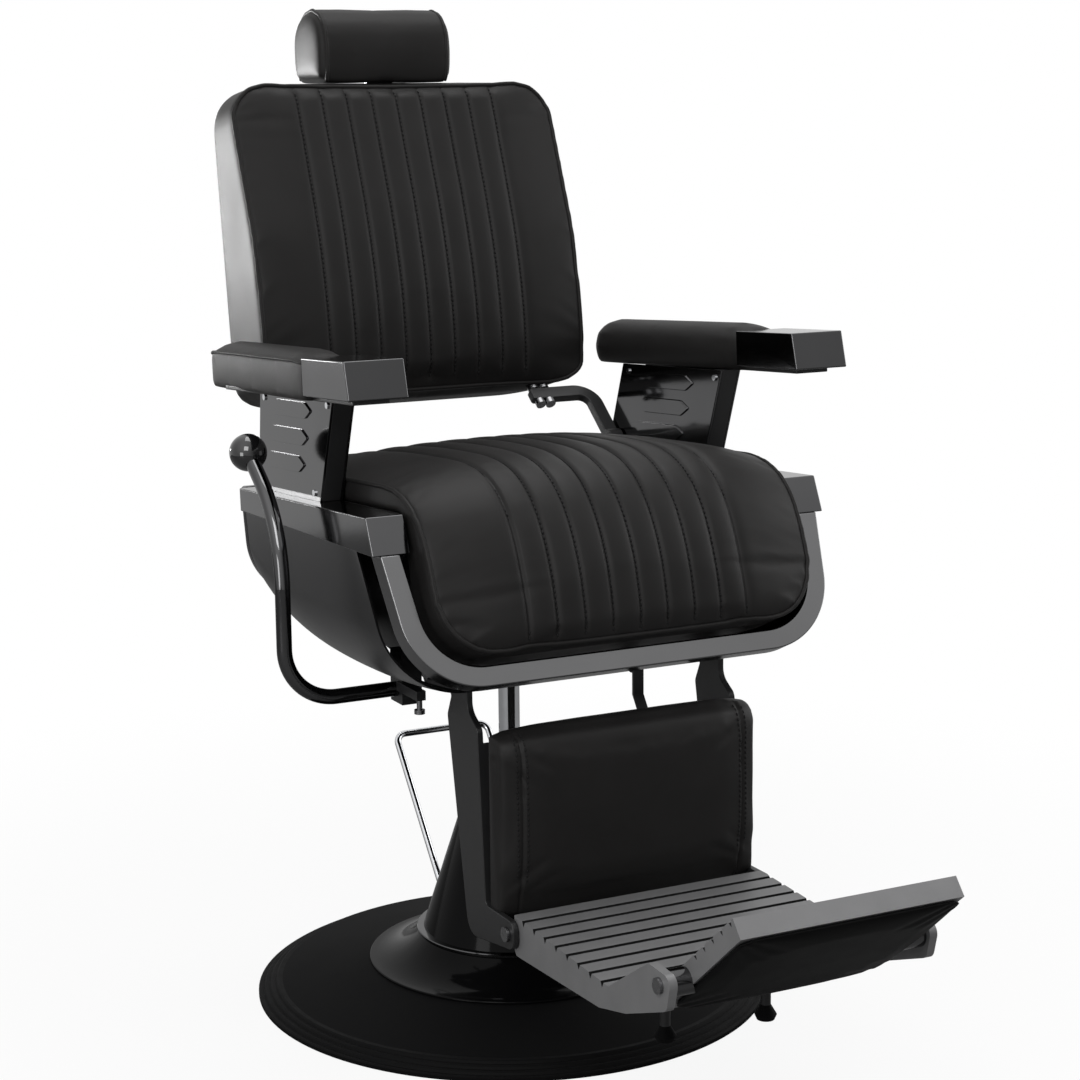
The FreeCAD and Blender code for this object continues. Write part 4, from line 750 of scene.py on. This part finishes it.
legPad = {"half": 0.1755, "front": -0.344, "rear": -0.2985, "low": 0.2145, "high": 0.4435, "edge": 0.02, "crown": 0.007,
          "heel": -0.3275, "heelRise": 0.046, "draw": 0.006, "turnIn": 0.012,
          "across": (0.0, 0.35, 0.7, 0.9, 0.955, 0.985, 1.0),
          "stitchAxis": (-0.312, 0.335), "seamDepth": 0.0022, "seamWidth": 0.0022,
          "seamCuts": (-0.004, -0.0015, 0.0, 0.0015, 0.004), "fadeRear": (0.02, 0.01),
          "rowGap": 0.0055, "rowSteps": 89, "rowArc": (-70, 155),
          "mesh": 0.005, "cap": 0.0022, "seam": 0.1505}


def makeLegPad():
    pad = legPad
    rings = []
    for share in stationsAcross(pad["across"], 1.0):
        crown = 1 - abs(share) ** 6
        front = pad["front"] + pad["turnIn"] * (1 - crown) - pad["crown"] * (1 - share ** 2)
        draw = pad["draw"] * (1 - crown)
        low, high = pad["low"] + draw, pad["high"] - draw
        r, knee = pad["edge"], low + pad["heelRise"]
        ring = [(pad["rear"], low), (pad["rear"], high), (front + r, high), (front + 0.3 * r, high - 0.3 * r),
                (front, high - r), (front - 0.001, (knee + high) / 2), (front, knee + 0.014),
                (front + 0.004, knee - 0.004), (pad["heel"] - 0.001, low + 0.005), (pad["heel"] + 0.005, low)]
        rings.append([(share * pad["half"], y, z) for y, z in ring])
    piece = meshObject("leg_pad_cover", skinned(rings))
    evened(piece, pad["mesh"])
    plumped(piece, pad["cap"], lambda p: 1.0 if p.y > pad["rear"] - 0.006 or p.z < pad["low"] + 0.03 else 0.0)
    cutAlong(piece, (1, 0, 0), [side * (pad["seam"] + cut) for side in (-1, 1) for cut in pad["seamCuts"]])

    def seamDip(p):
        near = math.exp(-((abs(p.x) - pad["seam"]) / pad["seamWidth"]) ** 2)
        return -pad["seamDepth"] * near * fade(pad["rear"] - p.y, pad["fadeRear"])
    reshaped(piece, seamDip)
    roundedOff(piece)
    tree = surfaceOf(piece)
    bm = bmesh.new()
    for side in (-1, 1):
        for offset in (-pad["rowGap"], pad["rowGap"]):
            spots = []
            for i in range(pad["rowSteps"] + 1):
                turn = math.radians(pad["rowArc"][0] + pad["rowArc"][1] * i / pad["rowSteps"])
                centre = Vector((side * (pad["seam"] + offset), *pad["stitchAxis"]))
                start = centre + Vector((0, -0.3 * math.cos(turn), 0.3 * math.sin(turn)))
                hit = tree.ray_cast(start, centre - start)[0]
                if hit:
                    spots.append(hit)
            sewnRow(bm, spots, lambda p: tree.find_nearest(p)[1], stitches)
    rows = meshObject("leg_pad_stitching", bm)
    finished(piece, "leg", "vinyl", ["leg_pad"])
    finished(rows, "leg", "vinyl", finish="thread")
    print("leg pad")


armPad = {"inner": 0.26, "width": 0.074, "low": 0.1296, "seam": 0.1772, "crown": 0.0125, "front": -0.1515,
          "rear": 0.231, "toeIn": 0.0175, "roundIn": 0.042, "weltStep": 0.004,
          "mesh": 0.0045, "cap": 0.004, "welt": 0.002}


def makeArmPad(side, name, replaced):
    # boxed on the outer side, with a welt along the seam; rolled over on the inner side
    pad = armPad
    half = pad["width"] / 2
    rings = []
    edge = []
    for share in (0.0, 0.03, 0.1, 0.3, 0.55, 0.8, 0.88, 0.92, 0.955, 0.98, 0.993, 1.0):
        y = pad["front"] + share * (pad["rear"] - pad["front"])
        over = max(0.0, y - (pad["rear"] - pad["roundIn"])) / pad["roundIn"]
        tuck = 0.9 * half * (1 - math.sqrt(max(0.0, 1 - over ** 2)))
        pinch = 0.003 * max(0.0, 1 - share / 0.06)
        centre = pad["inner"] + half - pad["toeIn"] * share
        outer, inner = half - 0.001 - pinch - 0.004 * over ** 4, -half + 0.002 + tuck + pinch
        high = pad["seam"] - 1.3 * pinch - 0.003 * over ** 2
        crown = (pad["crown"] - 1.5 * pinch) * (1 - 0.85 * over ** 2)
        base, roll = pad["low"], 0.5 * (pad["seam"] - pad["low"])
        span = outer - inner
        ring = [(outer - 0.003, base), (outer, base + 0.004), (outer, high), (outer - 0.22 * span, high + 0.75 * crown),
                (outer - 0.48 * span, high + crown), (outer - 0.74 * span, high + 0.62 * crown),
                (outer - 0.93 * span, high - 0.22 * roll), (inner, base + roll), (inner + 0.002, base + 0.4 * roll),
                (inner + 0.1 * span, base)]
        rings.append([(side * (centre + x), y, z) for x, z in ring])
        edge.append(Vector(rings[-1][2]))
    piece = meshObject(name, skinned(rings))
    evened(piece, pad["mesh"], 2)

    def held(p):
        share = (p.y - pad["front"]) / (pad["rear"] - pad["front"])
        outside = abs(p.x) > pad["inner"] + pad["width"] - pad["toeIn"] * share - 0.006
        sewn = outside and p.z > pad["seam"] - 0.006
        return 1.0 if p.z < pad["low"] + 0.006 or p.y < pad["front"] + 0.004 or sewn else 0.0
    plumped(piece, pad["cap"], held, 3.0)
    roundedOff(piece)
    tail = [Vector(rings[-1][i]) for i in (3, 4, 5)]
    welt = tube(name + "_welt", laidOn(piece, edge + tail, pad["weltStep"]), pad["welt"])
    for made in (piece, welt):
        moved(made, seatFrame)
    finished(piece, "seat", "vinyl", [replaced])
    finished(welt, "seat", "vinyl")
    print("arm pad", "left" if side > 0 else "right")


flipPad = {"half": 0.1375, "long": 0.1335, "short": 0.0635, "corner": 0.03, "top": -0.0088, "deep": 0.0098,
           "across": (0.0, 0.4, 0.8, 0.9, 0.95, 0.985, 1.0), "mesh": 0.004, "cap": 0.003}


def makeFlipPad():
    pad = flipPad
    rings = []
    for share in stationsAcross(pad["across"], 1.0):
        x = share * pad["half"]
        rise = cornerRise(x, pad["half"], pad["corner"])
        low, high = -pad["short"] + rise, pad["long"] - 0.25 * rise
        thick = pad["deep"] * (0.7 + 0.3 * (1 - abs(share) ** 5))
        ring = [(-high, pad["top"]), (-high, pad["top"] - 0.5 * thick), (-high + 0.008, pad["top"] - 0.9 * thick),
                (-(low + high) / 2, pad["top"] - thick), (-low - 0.008, pad["top"] - 0.9 * thick),
                (-low, pad["top"] - 0.5 * thick), (-low, pad["top"])]
        rings.append([(x, y, z) for y, z in ring])
    piece = meshObject("flip_pad_cover", skinned(rings))
    evened(piece, pad["mesh"], 2)
    plumped(piece, pad["cap"], lambda p: 1.0 if p.z > pad["top"] - 0.003 else 0.0, 3.0)
    roundedOff(piece)
    moved(piece, flipFrame)
    finished(piece, "flip", "vinyl", ["flip_pad"], "flip_vinyl")
    print("flip pad")


makeSeatCushion()
makeBackCushion()
makeBackCover()
makeHeadPillow()
makeLegPad()
makeArmPad(1, "arm_pad_cover_left", "arm_pad_left")
makeArmPad(-1, "arm_pad_cover_right", "arm_pad_right")
makeFlipPad()


# metal pieces with eased edges, which catch the light as pressed and plated ones do
easedEdges = {"arm_cap_left": 0.0022, "arm_cap_right": 0.0022, "side_rail_left": 0.0016, "side_rail_right": 0.0016,
              "front_band": 0.0016, "rear_panel": 0.002, "foot_plate": 0.0012, "flip_plate": 0.0012,
              "leg_arm_left": 0.0014, "leg_arm_right": 0.0014, "arm_post_left": 0.001, "arm_post_right": 0.001,
              "back_bar_left": 0.0014, "back_bar_right": 0.0014, "lever_bracket": 0.001,
              "arm_outer_plate_left": 0.0015, "arm_outer_plate_right": 0.0015, "arm_inner_plate_left": 0.0015,
              "arm_inner_plate_right": 0.0015, "shroud_cap": 0.001, "underframe": 0.001,
              "base_skirt": 0.0014}


# in degrees: faces closer than flat count as one, edges past sharp are eased
easing = {"flat": 0.6, "sharp": 38, "segments": 2}


def easedCopy(nodeName, width):
    bm = bmesh.new()
    bm.from_mesh(nodes[nodeName].data)
    bmesh.ops.remove_doubles(bm, verts=bm.verts, dist=1e-5)
    bmesh.ops.dissolve_limit(bm, angle_limit=math.radians(easing["flat"]), verts=bm.verts, edges=bm.edges)
    limit = math.radians(easing["sharp"])
    sharp = [e for e in bm.edges if len(e.link_faces) == 2 and e.calc_face_angle(0.0) > limit]
    bmesh.ops.bevel(bm, geom=sharp, offset=width, offset_type="OFFSET", segments=easing["segments"], profile=0.5,
                    affect="EDGES", clamp_overlap=True, material=-1)
    piece = meshObject(nodeName + "_eased", bm)
    finished(piece, bodyOf(nodeName), slotOf[nodeName], [nodeName], finishOf.get(nodeName))
    flat = piece.modifiers.new("flat faces", "WEIGHTED_NORMAL")
    flat.weight = 100
    flat.keep_sharp = True
    return piece


def paintedGrooveShade(piece, normal, height, region):
    # painted shade: the dark rubber finish on the faces low in the grooves between the treads stands in for the shade
    # there
    cutAlong(piece, normal, [height], region)
    piece.data.materials.append(finishes["rim_rubber"])
    for face in piece.data.polygons:
        if region(face.center) and abs(face.normal.x) < 0.5 and face.center @ normal < height:
            face.material_index = 1


hinge = {"inside": 0.114, "reach": 0.0162}


def glossyHinge(piece):
    # the barrels of the flip plate's hinge are polished
    piece.data.materials.append(finishes["gloss_black"])
    axis = flipFrame.translation
    for face in piece.data.polygons:
        away = math.hypot(face.center.y - axis.y, face.center.z - axis.z)
        if abs(face.center.x) > hinge["inside"] and away < hinge["reach"]:
            face.material_index = 2


# where the treads are, and how high the painted shade (the dark rubber finish) comes in their grooves
deck = {"normal": Vector((0, -0.0406, 0.9992)), "point": Vector((0, -0.354, 0.231)), "groove": -0.0005, "half": 0.168,
        "front": -0.6, "rear": -0.357, "low": 0.205}
flipRibs = {"groove": 0.0145, "half": 0.137, "front": -0.13, "rear": -0.01, "low": 0.007}


def onDeck(p):
    return abs(p.x) < deck["half"] and deck["front"] < p.y < deck["rear"] and p.z > deck["low"]


def onFlip(p):
    local = flipFrame.inverted() @ p
    inside = flipRibs["front"] < local.y < flipRibs["rear"] and local.z > flipRibs["low"]
    return abs(p.x) < flipRibs["half"] and inside


for nodeName, width in easedEdges.items():
    piece = easedCopy(nodeName, width)
    # painted shade: dark rubber finish low in the grooves of the foot plate and the flip plate
    if nodeName == "foot_plate":
        paintedGrooveShade(piece, deck["normal"], deck["normal"] @ deck["point"] + deck["groove"], onDeck)
    if nodeName == "flip_plate":
        slope = flipFrame.to_3x3() @ Vector((0, 0, 1))
        paintedGrooveShade(piece, slope, slope @ (flipFrame @ Vector((0, 0, flipRibs["groove"]))), onFlip)
        glossyHinge(piece)
print("eased pieces:", len(easedEdges))


# camera at the photograph's place
viewpoint = {"place": (-1.3333, -2.7271, 1.1748), "yaw": 26.866, "pitch": -10.667, "roll": -0.551, "lens": 79.0}


def makeCamera():
    yaw, pitch, roll = (math.radians(viewpoint[key]) for key in ("yaw", "pitch", "roll"))
    ahead = Vector((math.sin(yaw) * math.cos(pitch), math.cos(yaw) * math.cos(pitch), math.sin(pitch)))
    right = Vector((math.cos(yaw), -math.sin(yaw), 0))
    up = right.cross(ahead)
    tilted = right * math.cos(roll) + up * math.sin(roll)
    upright = up * math.cos(roll) - right * math.sin(roll)
    camera = bpy.data.objects.new("camera", bpy.data.cameras.new("camera"))
    camera.data.lens = viewpoint["lens"]
    camera.data.sensor_width = 36.0
    facing = Matrix((tilted, upright, -ahead)).transposed().to_4x4()
    camera.matrix_world = Matrix.Translation(viewpoint["place"]) @ facing
    scene.collection.objects.link(camera)
    scene.camera = camera


middle = (0, 0, 0.65)
# place, size, power, point aimed at, beam in degrees
lamps = {"key": ((-1.9, -2.4, 2.6), 1.5, 42.0, middle, 180),
         "fill": ((3.2, -1.0, 1.9), 1.6, 26.0, middle, 180),
         "top": ((0.2, 0.3, 3.4), 1.8, 34.0, middle, 180),
         "rim": ((-1.05, 2.2, 0.95), 0.5, 1.5, (-0.15, 0.36, 1.28), 28),
         "side": ((-2.6, -1.3, 0.6), 0.9, 12.0, middle, 180)}


def makeLamps():
    for name, (place, size, power, target, beam) in lamps.items():
        lamp = bpy.data.lights.new(name, "AREA")
        lamp.size = size
        lamp.energy = power
        lamp.spread = math.radians(beam)
        holder = bpy.data.objects.new(name, lamp)
        holder.location = place
        holder.visible_camera = False
        holder.rotation_euler = (Vector(target) - Vector(place)).to_track_quat("-Z", "Y").to_euler()
        scene.collection.objects.link(holder)


# soft panels round the chair: direction, brightness, how tight its edge is
softPanels = [((0.1, 0.1, 1.0), 0.6, 3.0), ((0.44, -0.72, 0.62), 0.3, 20.0), ((1.0, 0.1, 0.1), 0.8, 6.0),
              ((-0.75, -0.5, 0.6), 0.6, 5.0), ((0.42, -0.9, 0.05), -0.62, 12.0)]
studio = {"around": 0.4, "mirrored": 0.7, "floorSize": 3.2, "floorTone": 0.86, "floorBounce": 0.32, "nearGlow": 0.9,
          "near": 0.6, "far": 1.7}


def makeStudio():
    world = bpy.data.worlds.new("studio")
    world.use_nodes = True
    tree = world.node_tree
    tree.nodes.clear()
    shade = Shade(tree)
    toward = shade.node("ShaderNodeTexCoord", out=0)
    panels = studio["mirrored"]
    for direction, bright, tight in softPanels:
        facing = shade.node("ShaderNodeVectorMath", {"operation": "DOT_PRODUCT"},
                            {0: toward, 1: tuple(Vector(direction).normalized())}, out=1)
        panels = shade.maths("MAXIMUM", facing, 0.0) ** tight * bright + panels
    seen = shade.node("ShaderNodeLightPath", out=0)
    shiny = shade.node("ShaderNodeLightPath", out=3)
    strength = seen + (1 - seen) * (shiny * panels + (1 - shiny) * studio["around"])
    sky = shade.node("ShaderNodeBackground", None, {"Color": (1, 1, 1, 1), "Strength": strength})
    shade.node("ShaderNodeOutputWorld", None, {"Surface": sky})
    scene.world = world
    bm = bmesh.new()
    bmesh.ops.create_grid(bm, x_segments=1, y_segments=1, size=studio["floorSize"])
    floor = meshObject("studio_floor", bm)
    pale = bpy.data.materials.new("pale_floor")
    pale.use_nodes = True
    tree = pale.node_tree
    tree.nodes.clear()
    shade = Shade(tree)
    coords = shade.node("ShaderNodeTexCoord", out=3)
    away = shade.node("ShaderNodeVectorMath", {"operation": "LENGTH"}, {0: coords}, out=1)
    far = shade.node("ShaderNodeMapRange", {"interpolation_type": "SMOOTHSTEP"},
                     {"Value": away, "From Min": studio["near"], "From Max": studio["far"],
                      "To Min": studio["nearGlow"], "To Max": 1.0})
    bounced, tone = ((studio[key],) * 3 for key in ("floorBounce", "floorTone"))
    seen = shade.node("ShaderNodeLightPath", out=0)
    matt = shade.node("ShaderNodeBsdfDiffuse", None, {"Color": tint(shade, seen, bounced, tone)})
    glow = shade.node("ShaderNodeEmission", None, {"Color": (1, 1, 1, 1), "Strength": 1.0})
    mixed = shade.node("ShaderNodeMixShader", None, {0: seen * far, 1: matt, 2: glow})
    shade.node("ShaderNodeOutputMaterial", None, {"Surface": mixed})
    floor.data.materials.append(pale)


makeCamera()
makeLamps()
makeStudio()
print("studio ready")
